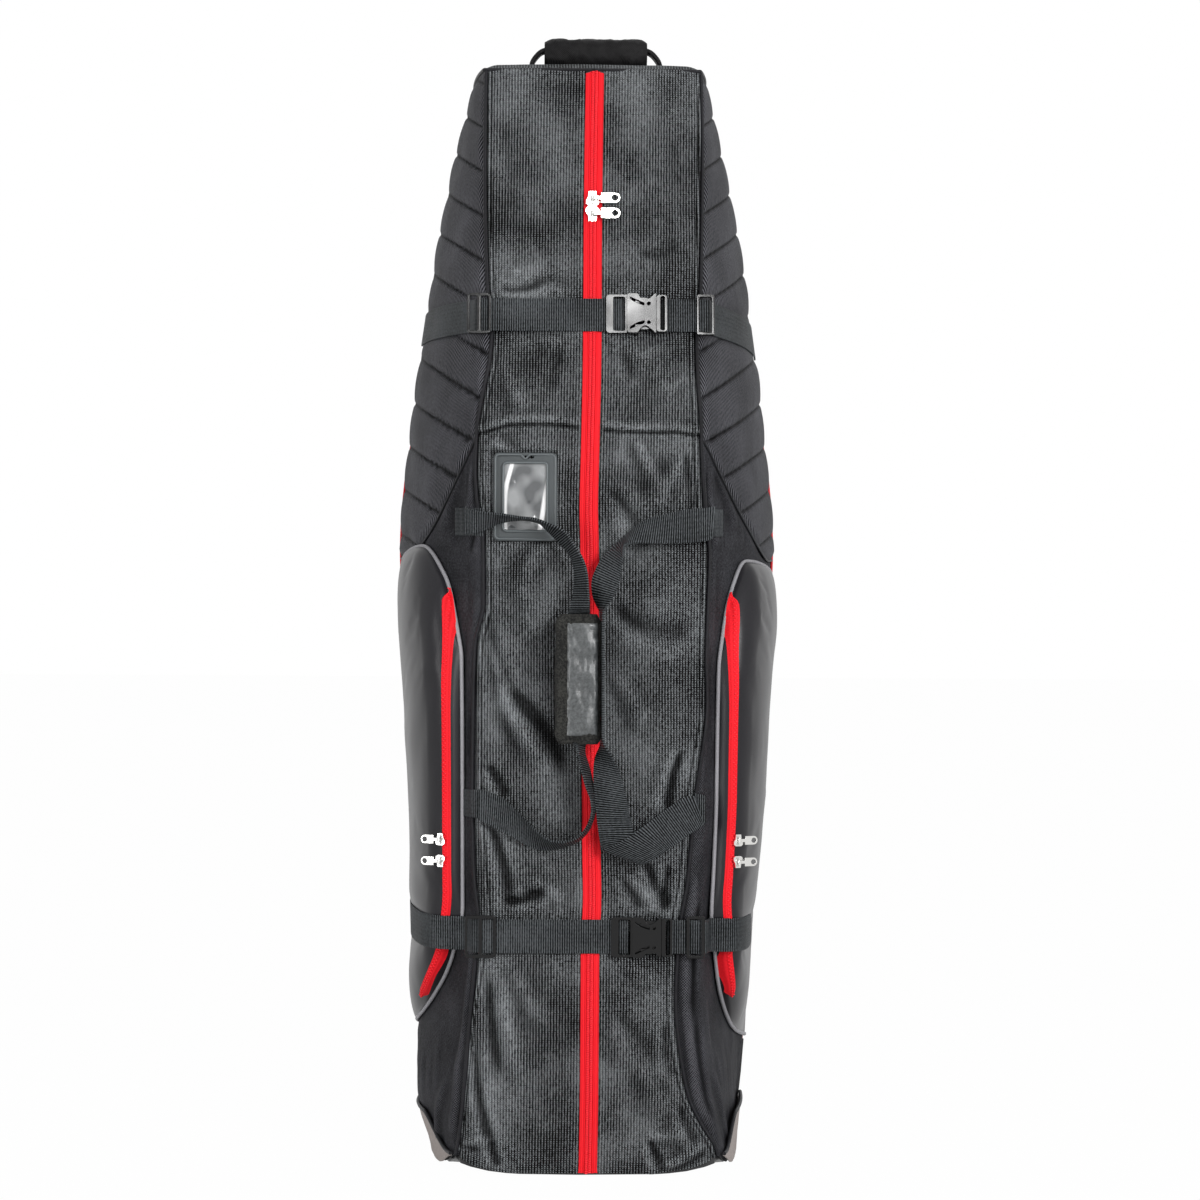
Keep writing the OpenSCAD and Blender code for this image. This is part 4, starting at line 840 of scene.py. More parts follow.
toothShape = toothBlock(*mainZip["tooth"])
for side, word, level, low, high, bend in frontParts:
    points, x, z, rise = zipHalf(side, low, high)
    tape = clothPanel("zipTape_" + word + "_" + level, points, x * side, z, rise - mainZip["set"], outwardFront, thick=0.0016, warp=False)
    solids = (["main_zip_ends"] if side < 0 and level == "lower" else []) + (["flap_zip_" + word] if level == "upper" else [])
    dress(tape, "redTape", None, "red_zip", *solids)
    bendAtFlap(tape)
    count = int((high - low) / mainZip["pitch"])
    heights = low + (np.arange(count) + (0.5 if side > 0 else 0.0) + 0.25) * mainZip["pitch"]
    seats = sway(frontAt(heights, np.full(count, mainZip["toothX"] * side)))
    slopes = unitRows(np.gradient(seats, axis=0))
    sideways = np.array((1.0, 0, 0))
    places = [(seat + outwardFront * mainZip["toothOut"], sideways, np.cross(slope, sideways), slope)
              for seat, slope in zip(seats, slopes)]
    coil = coilOf("zipCoil_" + word + "_" + level, toothShape, places)
    dress(coil, "redCoil", None, "red_zip")
    bendAtFlap(coil)
print("main zip laid")

sidePanel = {
    "spacing": 0.0505, "slope": 0.56, "eye": 0.704, "far": 4.13, "puff": 0.0030, "groove": 0.0014, "splitTop": 0.816,
    "splitDrop": 0.135, "splitLevel": 0.75, "hem": 0.012, "cornerReach": 0.045, "tuck": 0.003, "thin": 0.0002,
    "pucker": 0.0003, "puckerStep": 0.016, "puckerReach": 0.009, "strapDip": 0.0006, "splitDip": 0.0012,
    "covered": {"from": 0.022, "over": 0.012, "low": 0.13, "high": 0.71, "fade": 0.02, "dip": 0.001},
}
sideFolds = {
    -1: [(6, 790, 20, 735, 6, 3.5, 2), (10, 730, 30, 690, 6, -3.5, 0), (10, 250, 14, 130, 6, 3.5, 2), (20, 130, 10, 40, 8, 3.5, 2),
         (50, 100, 70, 20, 10, 3, 0), (50, 790, 100, 720, 10, 3, 0)],
    1: [(8, 780, 16, 720, 5, -4, 0), (14, 760, 30, 700, 6, 3, 0), (9, 330, 12, 200, 6, 4.5, 2), (20, 300, 22, 180, 5, -4, 0),
        (12, 200, 10, 80, 7, 4.5, -2), (24, 170, 20, 60, 6, -3.5, 0), (60, 110, 80, 20, 10, 3, 0), (50, 790, 100, 720, 10, 3, 0)],
}
strapDrop = {"upper": {-1: 0.004, 1: 0.018}, "lower": {-1: -0.007, 1: 0.005}}  # down round each side


def splitZ(t):
    return sidePanel["splitTop"] - sidePanel["splitDrop"] * (1 - (1 - unit(t / sidePanel["splitLevel"])) ** 2)


def sideGrid(side, share, low, high, rows):
    # the wall between two heights, from the front seam to the rear corner, read off a fine table of rows
    z = between(low, high, np.linspace(0, 1, rows)[:, None])
    levels = np.linspace(z.min(), z.max(), 420)
    ends = zip(levels, seamArc(side, levels), fullArc(levels) - 0.0003)
    table = np.stack([wallRow(float(h), np.linspace(a, b, share.size)) for h, a, b in ends])
    where = (z - levels[0]) / (levels[-1] - levels[0]) * (len(levels) - 1)
    i = np.clip(np.floor(where).astype(int), 0, len(levels) - 2)
    f = (where - i)[..., None]
    columns = np.arange(share.size)
    points = table[i, columns] * (1 - f) + table[i + 1, columns] * f
    points[..., 2] = z
    points[..., 0] *= side
    return points, z, distances(points)


def quiltClimb(x, y, z):
    # how much higher a channel stands here than at the front seam, as the camera sees it
    return sidePanel["slope"] * (x - frontX(z)) + (z - sidePanel["eye"]) * (y - frontY(z)) / sidePanel["far"]


for side, word in sides:
    # quilted upper side: channels that climb from the front seam towards the back
    share = np.linspace(0, 1, 108)[None]
    points, z, u = sideGrid(side, share, splitZ(share) + sidePanel["thin"], case["top"], 250)
    mark = placeOn(treeOf("side_upper_" + word), photoPoints["quiltRow" + word.capitalize()])
    start = mark.z - float(quiltClimb(abs(mark.x), mark.y, mark.z))
    row = (z - quiltClimb(np.abs(points[..., 0]), points[..., 1], z) - start) / sidePanel["spacing"]
    part = row - np.floor(row)
    gap = np.minimum(part, 1 - part) * sidePanel["spacing"]
    lift = sidePanel["puff"] * np.sin(math.pi * part) ** 0.6 - sidePanel["groove"] * bell(gap, 0.0021)
    ripple = np.sin(u * 2 * math.pi / sidePanel["puckerStep"] + 5 * lattice(u, z, 0.04, 3 + side))
    lift += sidePanel["pucker"] * ripple * np.exp(-gap / sidePanel["puckerReach"])
    lift += lattice(u, z, 0.05, 14 + side) * 0.0012
    edge = fades(sidePanel["hem"], u, u.max(1, keepdims=True) - u, case["top"] - z, z - splitZ(share))
    press = strapPress(z, case["upperStrap"] - strapDrop["upper"][side] * share)
    lift = lift * edge * (1 - press) - sidePanel["strapDip"] * press
    panel = clothPanel("quiltedSide_" + word, points, u, z, lift, np.array((side, 0, 0)))
    dress(panel, "quiltedTwill", "case", "quilted_twill", "side_upper_" + word)
    # plain lower side
    share = np.linspace(0, 1, 84)[None]
    points, z, u = sideGrid(side, share, case["low"], splitZ(share) - sidePanel["thin"], 230)
    points[..., 0] += side * slump(side, z, share)
    u = distances(points)
    points[..., 2] += footLift(z, bell(u, sidePanel["cornerReach"]))
    lift = lattice(u, z, 0.05, 24 + side) * 0.0018 + lattice(u * 1.5, z * 0.6, 0.02, 28 + side) * 0.0008
    lift += foldsAt(u, z, sideFolds[side])
    edge = fades(sidePanel["hem"], u, u.max(1, keepdims=True) - u, splitZ(share) - z, z - case["low"])
    flankStart = frontX(z) - seamArc(side, z)
    zone = sidePanel["covered"]  # flat under the pocket
    covered = easeIn((u - flankStart - zone["from"]) / zone["over"]) * fades(zone["fade"], z - zone["low"], zone["high"] - z)
    lift = lift * edge * (1 - covered) - zone["dip"] * covered
    lift = lift - sidePanel["splitDip"] * bell(splitZ(share) - z, 0.0025) - sidePanel["tuck"] * footTuck(z)
    panel = clothPanel("plainSide_" + word, points, u, z, lift, np.array((side, 0, 0)))
    dress(panel, "sideCloth", "case", "mesh_polyester", "side_lower_" + word)
print("sides laid")

backPanel = {"low": 0.1183, "hem": 0.012, "rails": (0.10, 0.13, 0.51), "railDip": -0.0003}
corner = np.linspace(0.002, 1, 24)[:-1]
s = np.concatenate([corner, np.linspace(1, 3, 70), np.linspace(3, 3.998, 24)[1:]])[None]
z = np.linspace(backPanel["low"], case["top"], 230)[:, None]
points = rearAt(z, s)
u = distances(points)
u -= u[:, -1:] / 2
edge = fades(backPanel["hem"], case["top"] - z, z - backPanel["low"], np.abs(u).max(1, keepdims=True) - np.abs(u))
railX, railLow, railHigh = backPanel["rails"]
under = (np.abs(points[..., 0]) < railX) & (z > railLow) & (z < railHigh)
lift = np.where(under, backPanel["railDip"], (lattice(u, z, 0.06, 41) * 0.0016 + lattice(u, z, 0.021, 42) * 0.0006) * edge)
panel = clothPanel("backCloth", points, u, z, lift, np.array((0, 1, 0)), warp=False)
dress(panel, "backCloth", "case", "back_cloth", "back_panel")

topPanel = {"rise": 0.009, "rings": 26, "middle": np.array((0, 0.0655, 0)), "thick": 0.004}


def outlineAt(z, count=40):
    half = np.concatenate([frontAt(z, np.linspace(0, 1, count) * frontX(z)), flankAt(z, np.linspace(0.02, 1, count)),
                           rearAt(z, np.linspace(0.04, 2, count))])
    return np.concatenate([half, half[::-1][1:-1] * np.array((-1, 1, 1))])


rim = outlineAt(case["top"])
rings = []
for share in np.arange(topPanel["rings"]) / (topPanel["rings"] - 1):
    ring = between(rim, topPanel["middle"], share * 0.97)
    height = case["top"] + 0.0004 + (topPanel["rise"] - 0.0008) * (1 - (1 - min(1, share * 5)) ** 2.2)
    ring[:, 2] = height + 0.0008 * lattice(ring[:, 0] + 1, ring[:, 1] + 1, 0.03, 51) * easeIn(share * 4)
    rings.append(ring)
panel = smoothShade(loft("topCloth", [rings[0] - np.array((0, 0, topPanel["thick"]))] + rings))
setUv(panel, readPoints(panel)[:, :2])
dress(panel, "ribbedPolyester", "case", "mesh_polyester", "top_panel")
print("back and top laid")

seamTrim = {
    "front": 0.0021, "rear": 0.0014, "split": 0.0014, "top": 0.0020, "proud": 0.0009, "step": 0.006,
    "rearProud": mm([(100, -1.6), (560, -1.6), (620, 0.4), (780, 0.8), (830, -1.6), (1240, -1.6)]),  # tucked in but for the middle
}
for side, word in sides:
    z = np.linspace(case["low"], case["top"], int((case["top"] - case["low"]) / seamTrim["step"]) + 2)
    path = sidewise(wallAlong(z[:, None], seamArc(side, z)[:, None])[:, 0], side)
    turned = np.clip((seamArc(side, z) - frontX(z)) / 0.02 + 0.5, 0.05, 0.9)
    out = unitRows(np.stack([turned * side, turned - 1.1, 0 * z], 1))
    path = sway(path) + out * seamTrim["proud"]
    path[:, 2] += footLift(z, 1)
    dress(pipeAlong("frontSeamPiping_" + word, path, seamTrim["front"], out), "pipingCloth", "case", "mesh_polyester")
    z = np.linspace(0.119, case["top"], 180)
    out = np.array((side, 0.1, 0))
    path = sidewise(flankAt(z, 0.9995), side) + out * curveAt(seamTrim["rearProud"], z)[:, None]
    dress(pipeAlong("rearSeamPiping_" + word, path, seamTrim["rear"], out), "redPiping", "case", "red_zip")
    share = np.linspace(0, 0.998, 60)
    heights = splitZ(share)
    path = sidewise(wallAlong(heights[:, None], between(seamArc(side, heights), fullArc(heights), share)[:, None])[:, 0], side)
    out = unitRows(stack(path[:, 0], -0.08 * (1 - share), 0))
    dress(pipeAlong("splitSeamCord_" + word, path + out * 0.0002, seamTrim["split"], out), "pipingCloth", "case", "mesh_polyester")
closed = np.concatenate([rim, rim[:2]])
out = unitRows(closed * np.array((1, 1, 0)) - topPanel["middle"])
dress(pipeAlong("topSeamPiping", closed + out * 0.0006, seamTrim["top"], out), "pipingCloth", "case", "mesh_polyester")
print("seams laid")

pocket = {
    "bulge": 0.025, "peak": 0.700, "tip": 0.138, "base": 0.288, "front": 0.105, "cloth": 0.0024, "thick": 0.0018, "lie": 0.0004,
    "flank": 0.27, "roundFront": 0.06, "roundTop": 0.09, "roundFoot": 0.06, "piping": 0.0024, "sunk": 0.0006,
    "zipT": 0.15, "zipLift": 0.0008, "zipInset": 0.015, "zipHold": 0.016, "pressDip": 0.0012,
}
# the pocket's lower and upper edge, by how far round the side
pocketLow = {
    -1: [(pocket["front"], pocket["base"]), (0.3, 0.211), (0.6, 0.164), (1, pocket["tip"])],
    1: [(pocket["front"], pocket["base"]), (0.3, 0.199), (0.6, 0.148), (1, pocket["tip"] - 0.014)],
}
pocketHigh = {
    side: [(t, pocket["peak"] - drop) for t, drop in rows]
    for side, rows in {-1: [(pocket["front"], 0.120), (0.22, 0.040), (0.45, 0.004), (0.75, 0.014), (1, 0.050)],
                       1: [(pocket["front"], 0.130), (0.18, 0.060), (0.33, 0.019), (0.75, 0.030), (1, 0.060)]}.items()
}
pocketFolds = [(20, 620, 90, 550, 12, 1.8, 10), (30, 320, 100, 400, 10, -1.6, 5)]
clothSettle = {"pressure": 2.5, "cap": 0.006, "frames": 20, "bend": 0.6, "quality": 6}


def quarter(u):
    return np.sqrt(unit(1 - (1 - unit(u)) ** 2))


def bulgeAt(side, t, z):
    low, high = curveAt(pocketLow[side], t), curveAt(pocketHigh[side], t)
    inside = (t >= pocket["front"]) & (z > low) & (z < high)
    body = quarter((t - pocket["front"]) * pocket["flank"] / pocket["roundFront"])
    body = body * quarter((high - z) / pocket["roundTop"]) * quarter((z - low) / pocket["roundFoot"])
    return np.where(inside, pocket["bulge"] * body * (1 - unit((t - 0.3) / 0.7) ** 1.5), 0), inside


def overPocket(side, z, t, extra):
    return flankAt(z, t, -pocket["lie"] - bulgeAt(side, t, z)[0] - extra)


def settleCloth(obj, held):
    # the cloth is blown out a little from its held edge, then kept as it lies
    before = readPoints(obj)
    obj.vertex_groups.new(name="held").add([int(i) for i in np.flatnonzero(held)], 1.0, "REPLACE")
    pick(obj)
    bpy.ops.object.modifier_add(type="CLOTH")
    modifier = obj.modifiers[-1]
    cloth = modifier.settings
    cloth.vertex_group_mass = "held"
    cloth.use_pressure = True
    cloth.uniform_pressure_force = clothSettle["pressure"]
    cloth.effector_weights.gravity = 0
    cloth.bending_stiffness = clothSettle["bend"]
    cloth.quality = clothSettle["quality"]
    modifier.point_cache.frame_start, modifier.point_cache.frame_end = 1, clothSettle["frames"]
    for step in range(clothSettle["frames"]):
        scene.frame_set(step + 1)
    bpy.ops.object.modifier_apply(modifier=modifier.name)
    scene.frame_set(1)
    moved = readPoints(obj) - before
    moved *= np.minimum(1, clothSettle["cap"] / np.maximum(np.linalg.norm(moved, axis=1, keepdims=True), 1e-9))
    obj.data.vertices.foreach_set("co", (before + moved).reshape(-1))
    obj.vertex_groups.clear()
    obj.data.update()


for side, word in sides:
    even, down = np.linspace(0, 1, 60)[None], np.linspace(0, 1, 130)[:, None]
    t = between(pocket["front"], 0.999, (1 - np.cos(even * math.pi / 2)) * 0.6 + even * 0.4)
    v = (0.5 - 0.5 * np.cos(down * math.pi)) * 0.5 + down * 0.5
    z = between(curveAt(pocketLow[side], t), curveAt(pocketHigh[side], t), v)
    points = sidewise(overPocket(side, z, t + 0 * z, pocket["cloth"]), side)
    points[..., 0] += side * slump(side, z, t)
    u = distances(points)
    fade = np.sin(math.pi * v) ** 0.6 * np.sin(math.pi * unit((t - pocket["front"]) / (1 - pocket["front"]))) ** 0.6
    lift = (lattice(u, z, 0.06, 61 + side) * 0.0022 + lattice(u * 1.6, z * 0.5, 0.03, 64 + side) * 0.0009) * fade - pocket["sunk"]
    lift += foldsAt(u, z, pocketFolds) * fade
    press = strapPress(z, case["lowerStrap"] - strapDrop["lower"][side] * t)
    lift = lift * (1 - press) - pocket["pressDip"] * press * fade
    panel = clothPanel("pocketCloth_" + word, points, u, z, lift, np.array((side, -0.3, 0)), thick=0, warp=False)
    held = np.ones(z.shape, bool)
    held[2:-2, 2:-2] = False
    held |= np.abs(points[..., 1] - overPocket(side, z, np.full(z.shape, pocket["zipT"]), 0)[..., 1]) < pocket["zipHold"]
    settleCloth(panel, held[:, ::side].reshape(-1))
    applyModifier(panel, "SOLIDIFY", thickness=pocket["thick"], offset=-1, use_rim=True)
    dress(smoothShade(panel, 60), "pocketSatin", "case", "pocket_satin", "side_pocket_" + word)
    # grey piping round the pocket's edge
    forward, back = np.linspace(0.998, pocket["front"], 60), np.linspace(pocket["front"], 0.998, 60)
    edgeT = np.concatenate([forward, np.full(40, pocket["front"]), back])
    edgeZ = np.concatenate([curveAt(pocketLow[side], forward),
                            np.linspace(pocket["base"], curveAt(pocketHigh[side], pocket["front"]), 40), curveAt(pocketHigh[side], back)])
    path = sidewise(flankAt(edgeZ, edgeT, -pocket["lie"] - 0.0016), side)
    path[:, 0] += side * slump(side, edgeZ, edgeT)
    trim = pipeAlong("pocketPiping_" + word, smoothed(resample(path, 0.005), 3), pocket["piping"], np.array((0.8 * side, -0.6, 0.0)))
    dress(trim, "greyPiping", "case", "pocket_satin")
print("pockets laid")

pocketZip = {
    "half": 0.0043, "pitch": 0.0024, "nearer": 0.0031, "step": 0.004, "taper": 0.012, "turnIn": 0.22, "endT": {-1: 0.46, 1: 0.36},
    "lowBend": [(0.190, -0.014), (0.168, 0.0), (0.156, 0.014)], "tooth": (0.0021, 0.0016, 0.0015), "stagger": 0.0011,
    "highBend": [(0.151, 0.128), (0.154, 0.112), (0.160, 0.097), (0.168, 0.084), (0.178, 0.071), (0.187, 0.060), (0.194, 0.051)],
    "section": [(-1, -1.0), (-0.8, 0.0), (-0.45, 0.2), (-0.2, 0.5), (0, 0.3), (0.2, 0.5), (0.45, 0.2), (0.8, 0.0), (1, -1.0)],  # mm high
}


def zipLine(side):
    # the zip's course on the unrolled side, from its lower end up
    base, peak, flank, last, turnIn = pocket["base"], pocket["peak"], pocket["flank"], pocketZip["endT"][side], pocketZip["turnIn"]
    drop = float(curveAt(pocketHigh[side], 0.2)) - (peak - 0.048)
    course = [(t * flank, float(curveAt(pocketLow[side], t)) + pocket["zipInset"] * (1 - 0.4 * (t - turnIn) / (last - turnIn)))
              for t in np.linspace(last, turnIn, 9)]
    course += [(q * flank, base + dz) for q, dz in pocketZip["lowBend"]]
    course += [(pocket["zipT"] * flank, z) for z in np.linspace(base + 0.027, peak - 0.16, 6)]
    course += [(q * flank, peak - dz + drop) for q, dz in pocketZip["highBend"]]
    course = smoothed(resample(course, pocketZip["step"]), 4)
    ahead = unitRows(np.gradient(course, axis=0))
    across = np.stack([ahead[:, 1], -ahead[:, 0]], 1)
    return course - across * pocketZip["nearer"], across


def zipSeat(side, offset, lift):
    line, across = zipLine(side)
    end = np.minimum(np.arange(len(line)), np.arange(len(line))[::-1])[:, None] * pocketZip["step"]
    u, z = (line + across * offset * (0.25 + 0.75 * easeIn(end / pocketZip["taper"]))).T
    t = u / pocket["flank"]
    points = sidewise(overPocket(side, z, t, pocket["cloth"] + pocket["zipLift"] + lift), side)
    points[:, 0] += side * slump(side, z, t)
    return points


smallTooth = toothBlock(*pocketZip["tooth"])
for side, word in sides:
    offsets, heights = np.array(pocketZip["section"]).T
    offsets, heights = offsets * pocketZip["half"], heights / 1000
    over = np.stack([zipSeat(side, o, h + 0.0002) for o, h in zip(offsets, heights)], 1)
    under = np.stack([zipSeat(side, o, -0.0008) for o in offsets[::-1]], 1)
    tape = loft("pocketZipTape_" + word, np.concatenate([over, under], 1), u=np.concatenate([offsets, offsets[::-1]]))
    dress(smoothShade(tape), "redTape", "case", "red_zip", *(["pocket_zips"] if side < 0 else []))
    middle = resample(zipSeat(side, 0, 0.0009), pocketZip["pitch"])
    ahead = unitRows(np.gradient(middle, axis=0))
    wide = zipSeat(side, 0.002, 0.0009) - zipSeat(side, -0.002, 0.0009)
    shares = np.linspace(0, 1, len(middle)), np.linspace(0, 1, len(wide))
    sideways = unitRows(np.stack([np.interp(*shares, column) for column in wide.T], 1))
    shift = pocketZip["stagger"] * np.where(np.arange(len(middle)) % 2, 1, -1)[:, None]
    places = [(seat, flat, np.cross(way, flat), way) for seat, flat, way in zip(middle + sideways * shift, sideways, ahead)]
    dress(coilOf("pocketZipCoil_" + word, smallTooth, places), "redCoil", "case", "red_zip")
print("pocket zips laid")

strap = {
    "width": 0.038, "thick": 0.002, "lie": 0.0004, "corner": 0.125, "underlap": 0.014, "turn": 0.003,
    "socket": 0.032, "bar": 0.0034, "plug": 0.012, "coil": 0.001, "hem": {"case": 0.0006, "front": 0.0004},
    "rows": {"upper": {"z": case["upperStrap"], "glide": -0.125, "mouth": 0.070},
             "lower": {"z": case["lowerStrap"], "glide": -0.120, "mouth": 0.079}},
}


def flatStrap(zc, x, dz, out):
    # a point of a strap's flat run across the front
    a = math.radians(case["lean"]) if zc > case["seam"] + case["leanBlend"] else 0
    face = float(frontY(zc)) - case["crown"] - strap["coil"]
    return stack(x, face - out * math.cos(a) + dz * math.sin(a), zc + dz * math.cos(a) + out * math.sin(a))


def sideStrap(side, zc, drop, t, dz, out):
    z = zc - drop * t
    overZip = bell(t - pocket["zipT"], 0.05) * (pocket["zipLift"] + 0.0016)
    cover = 0
    for edge in (-1, 0, 1):
        bulge, inside = bulgeAt(side, t, z + edge * strap["width"] / 2)
        cover = np.maximum(cover, bulge + np.where(inside, pocket["cloth"] + overZip - 0.0008, 0))
    points = flankAt(z + dz, t, -strap["lie"] - cover - out)
    points[..., 0] += slump(side, z, t)
    return points


def strapRun(name, side, level, x0, x1, out, solid):
    # from the front round one side, each edge laid by itself
    zc, drop, half = strap["rows"][level]["z"], strapDrop[level][side], strap["width"] / 2
    t = np.linspace(0.03, 0.9995, 70)
    t = t[sideStrap(side, zc, drop, t, half, 0)[:, 0] > x1 + strap["turn"]]
    low, high = (sidewise(np.concatenate([flatStrap(zc, np.linspace(x0, x1, 5), edge, out + strap["thick"] / 2),
                                          sideStrap(side, zc, drop, t, edge, strap["thick"] / 2)]), side) for edge in (-half, half))
    low, high = (smoothed(edge, 6) for edge in resample((low + high) / 2, 0.003, low, high)[1:])
    centre, across = (low + high) / 2, unitRows(high - low)
    through = unitRows(np.cross(np.gradient(centre, axis=0), across)) * side
    band = webbing(name, centre, across, -through, strap["width"] - strap["hem"]["case"], strap["thick"])
    dress(band, "blackWebbing", "case", "webbing", solid)


for level, row in strap["rows"].items():
    leftStart, rightStart = -row["glide"] - strap["underlap"], row["mouth"] + strap["plug"] * 0.6
    strapRun("strapLeft_" + level, -1, level, leftStart, strap["corner"] + strap["turn"], -strap["lie"] - strap["thick"],
             level + "_strap_left")
    strapRun("strapRight_" + level, 1, level, rightStart, strap["corner"] + 0.004, strap["lie"], level + "_strap_right")
    x = np.linspace(row["glide"], row["mouth"] - strap["socket"] - strap["bar"] - strap["lie"], 60)
    upWay = unitRows(flatStrap(row["z"], x, 0.01, 0) - flatStrap(row["z"], x, 0, 0))
    centre = flatStrap(row["z"], x, 0, strap["lie"] + strap["thick"] / 2)
    band = webbing("strapFront_" + level, centre, upWay, np.cross(upWay, (1.0, 0, 0)),
                   strap["width"] - strap["hem"]["front"], strap["thick"])
    dress(band, "blackWebbing", level + "_buckle", "webbing", level + "_strap_front")
print("straps laid")

carry = {
    "width": 0.030, "thick": 0.0025, "gripL": 0.144, "gripW": 0.054, "gripT": 0.024, "stand": 0.55,
    "tabWider": 0.001, "tabThick": 0.0022, "tabSeat": 0.003, "tabFrom": {-1: 0.119, 1: 0.116},
    "tabs": ((-1, "left", "high", 0.7235, 0.150, -0.02), (-1, "left", "low", 0.4125, 0.140, 0.0),
             (1, "right", "high", 0.7235, 0.146, -0.02), (1, "right", "low", 0.4070, 0.1275, 0.25)),  # height, tip, tilt
    "patch": {"x": 0.0045, "width": 0.034, "height": 0.123, "proud": 0.0012},
}
# each loop by its two edges, end to end, in tenths of a millimetre: x, z and how far out from the front, for one edge and the other
loopEdges = {
    "left": [
        (-1381, 7399, 45, -1379, 7097, 45), (-1313, 7360, 165, -1314, 7109, 45), (-1214, 7339, 241, -1215, 7131, 45),
        (-1104, 7325, 291, -1116, 7170, 45), (-1006, 7317, 319, -1018, 7220, 45), (-809, 7286, 342, -798, 7258, 45),
        (-624, 7265, 370, -589, 7228, 70), (-471, 7211, 398, -490, 7146, 102), (-297, 7125, 429, -392, 7048, 151),
        (-188, 6973, 474, -260, 6906, 186), (-101, 6821, 502, -205, 6797, 218), (-57, 6669, 516, -188, 6644, 244),
        (-40, 6474, 530, -193, 6470, 270), (-33, 6322, 526, -225, 6317, 294), (-20, 6080, 300, -270, 6080, 240),
        (-20, 4990, 240, -240, 4990, 300), (-69, 4741, 264, -156, 4779, 556), (-18, 4544, 256, -116, 4593, 544),
        (22, 4367, 232, -61, 4386, 528), (45, 4212, 209, -5, 4232, 511), (52, 4079, 188, 12, 4100, 492),
        (25, 3956, 168, -8, 3990, 472), (-29, 3839, 148, -62, 3879, 452), (-132, 3732, 119, -159, 3784, 421),
        (-263, 3674, 91, -311, 3742, 389), (-394, 3639, 76, -464, 3766, 354), (-548, 3639, 76, -589, 3855, 304),
        (-692, 3683, 84, -699, 3959, 236), (-824, 3763, 130, -814, 4071, 130), (-956, 3826, 95, -936, 4178, 95),
        (-1099, 3900, 60, -1079, 4252, 60), (-1221, 3952, 45, -1223, 4294, 45)],
    "right": [
        (1357, 7415, 45, 1326, 7058, 45), (1245, 7398, 70, 1247, 7035, 70), (1056, 7385, 120, 1058, 7012, 120),
        (856, 7340, 170, 836, 7006, 170), (660, 7284, 159, 613, 7004, 271), (507, 7212, 151, 435, 7009, 369),
        (376, 7085, 158, 351, 6976, 442), (222, 6953, 199, 335, 6856, 461), (111, 6832, 267, 315, 6714, 453),
        (28, 6690, 342, 295, 6572, 418), (-3, 6559, 334, 262, 6475, 446), (20, 6416, 283, 206, 6388, 517),
        (70, 6307, 264, 151, 6302, 556), (109, 6219, 258, 124, 6226, 562), (111, 5946, 258, 126, 5954, 562),
        (116, 5125, 258, 130, 5139, 562), (117, 4829, 258, 137, 4846, 562), (74, 4719, 258, 215, 4702, 522),
        (41, 4611, 285, 283, 4568, 455), (27, 4440, 340, 353, 4375, 340), (43, 4251, 300, 399, 4198, 300),
        (61, 4062, 260, 428, 4042, 260), (85, 3862, 220, 469, 3874, 220), (109, 3716, 185, 504, 3630, 185),
        (114, 3657, 200, 537, 3510, 200), (141, 3654, 225, 570, 3491, 225), (239, 3682, 235, 635, 3508, 235),
        (349, 3742, 225, 723, 3557, 225), (503, 3845, 200, 811, 3616, 200), (679, 3970, 165, 911, 3679, 165),
        (855, 4099, 120, 1077, 3797, 120), (1033, 4212, 70, 1211, 3882, 70), (1144, 4227, 45, 1257, 3907, 45)],
}


def easyCurve(course, steps):
    # smooth through every station
    p = np.concatenate([course[:1], course, course[-1:]])
    rows = []
    for a, b, c, d in zip(p, p[1:], p[2:], p[3:]):
        for u in np.linspace(0, 1, steps, endpoint=False):
            rows.append(0.5 * (2 * b + (c - a) * u + (2 * a - 5 * b + 4 * c - d) * u ** 2 + (3 * b - a - 3 * c + d) * u ** 3))
    return np.array(rows + [p[-1]])


section = bandSection(1.0, carry["thick"])
section[:, 0] *= 0.5 / section[:, 0].max()
for side, word in sides:
    path = easyCurve(mm(loopEdges[word], 10), 7)
    face = float(frontY(carry["stand"])) - case["crown"]
    one, two = (np.stack([path[:, k], face - path[:, k + 2], path[:, k + 1]], 1) for k in (0, 3))
    centre, width = (one + two) / 2, np.linalg.norm(one - two, axis=1, keepdims=True)[..., None]
    across = unitRows(one - two)
    through = unitRows(np.cross(unitRows(np.gradient(centre, axis=0)), across))
    rings = centre[:, None] + across[:, None] * section[None, :, :1] * width + through[:, None] * section[None, :, 1:]
    band = smoothShade(loft("carryWebbing_" + word, rings, u=section[:, 0] * carry["width"]))
    dress(band, "blackWebbing", "carry_" + word, "webbing", "carry_loop_" + word)
for side, word, tall, height, tip, tilt in carry["tabs"]:
    flat = np.linspace(carry["tabFrom"][side], tip, 14)
    wall = wallRow(height, np.linspace(0.10, 0.30, 200))
    centre = sidewise(stack(flat, np.interp(flat, wall[:, 0], wall[:, 1]) - carry["tabSeat"], height - (flat - flat[-1]) * tilt), side)
    up = np.array((0.0, 0, 1))
    out = unitRows(np.cross(np.gradient(centre, axis=0), up)) * side
    tab = webbing("carryTab_" + word + "_" + tall, centre, up, out, carry["width"] + carry["tabWider"], carry["tabThick"])
    dress(tab, "blackWebbing", "case", "webbing", *(["handle_anchors"] if (word, tall) == ("left", "high") else []))


def roundedBlock(width, depth, count, power):
    turn = np.linspace(0, 2 * math.pi, count, endpoint=False)
    c, s = np.cos(turn), np.sin(turn)
    return np.stack([width / 2 * np.sign(c) * np.abs(c) ** (2 / power), depth / 2 * np.sign(s) * np.abs(s) ** (2 / power)], 1)


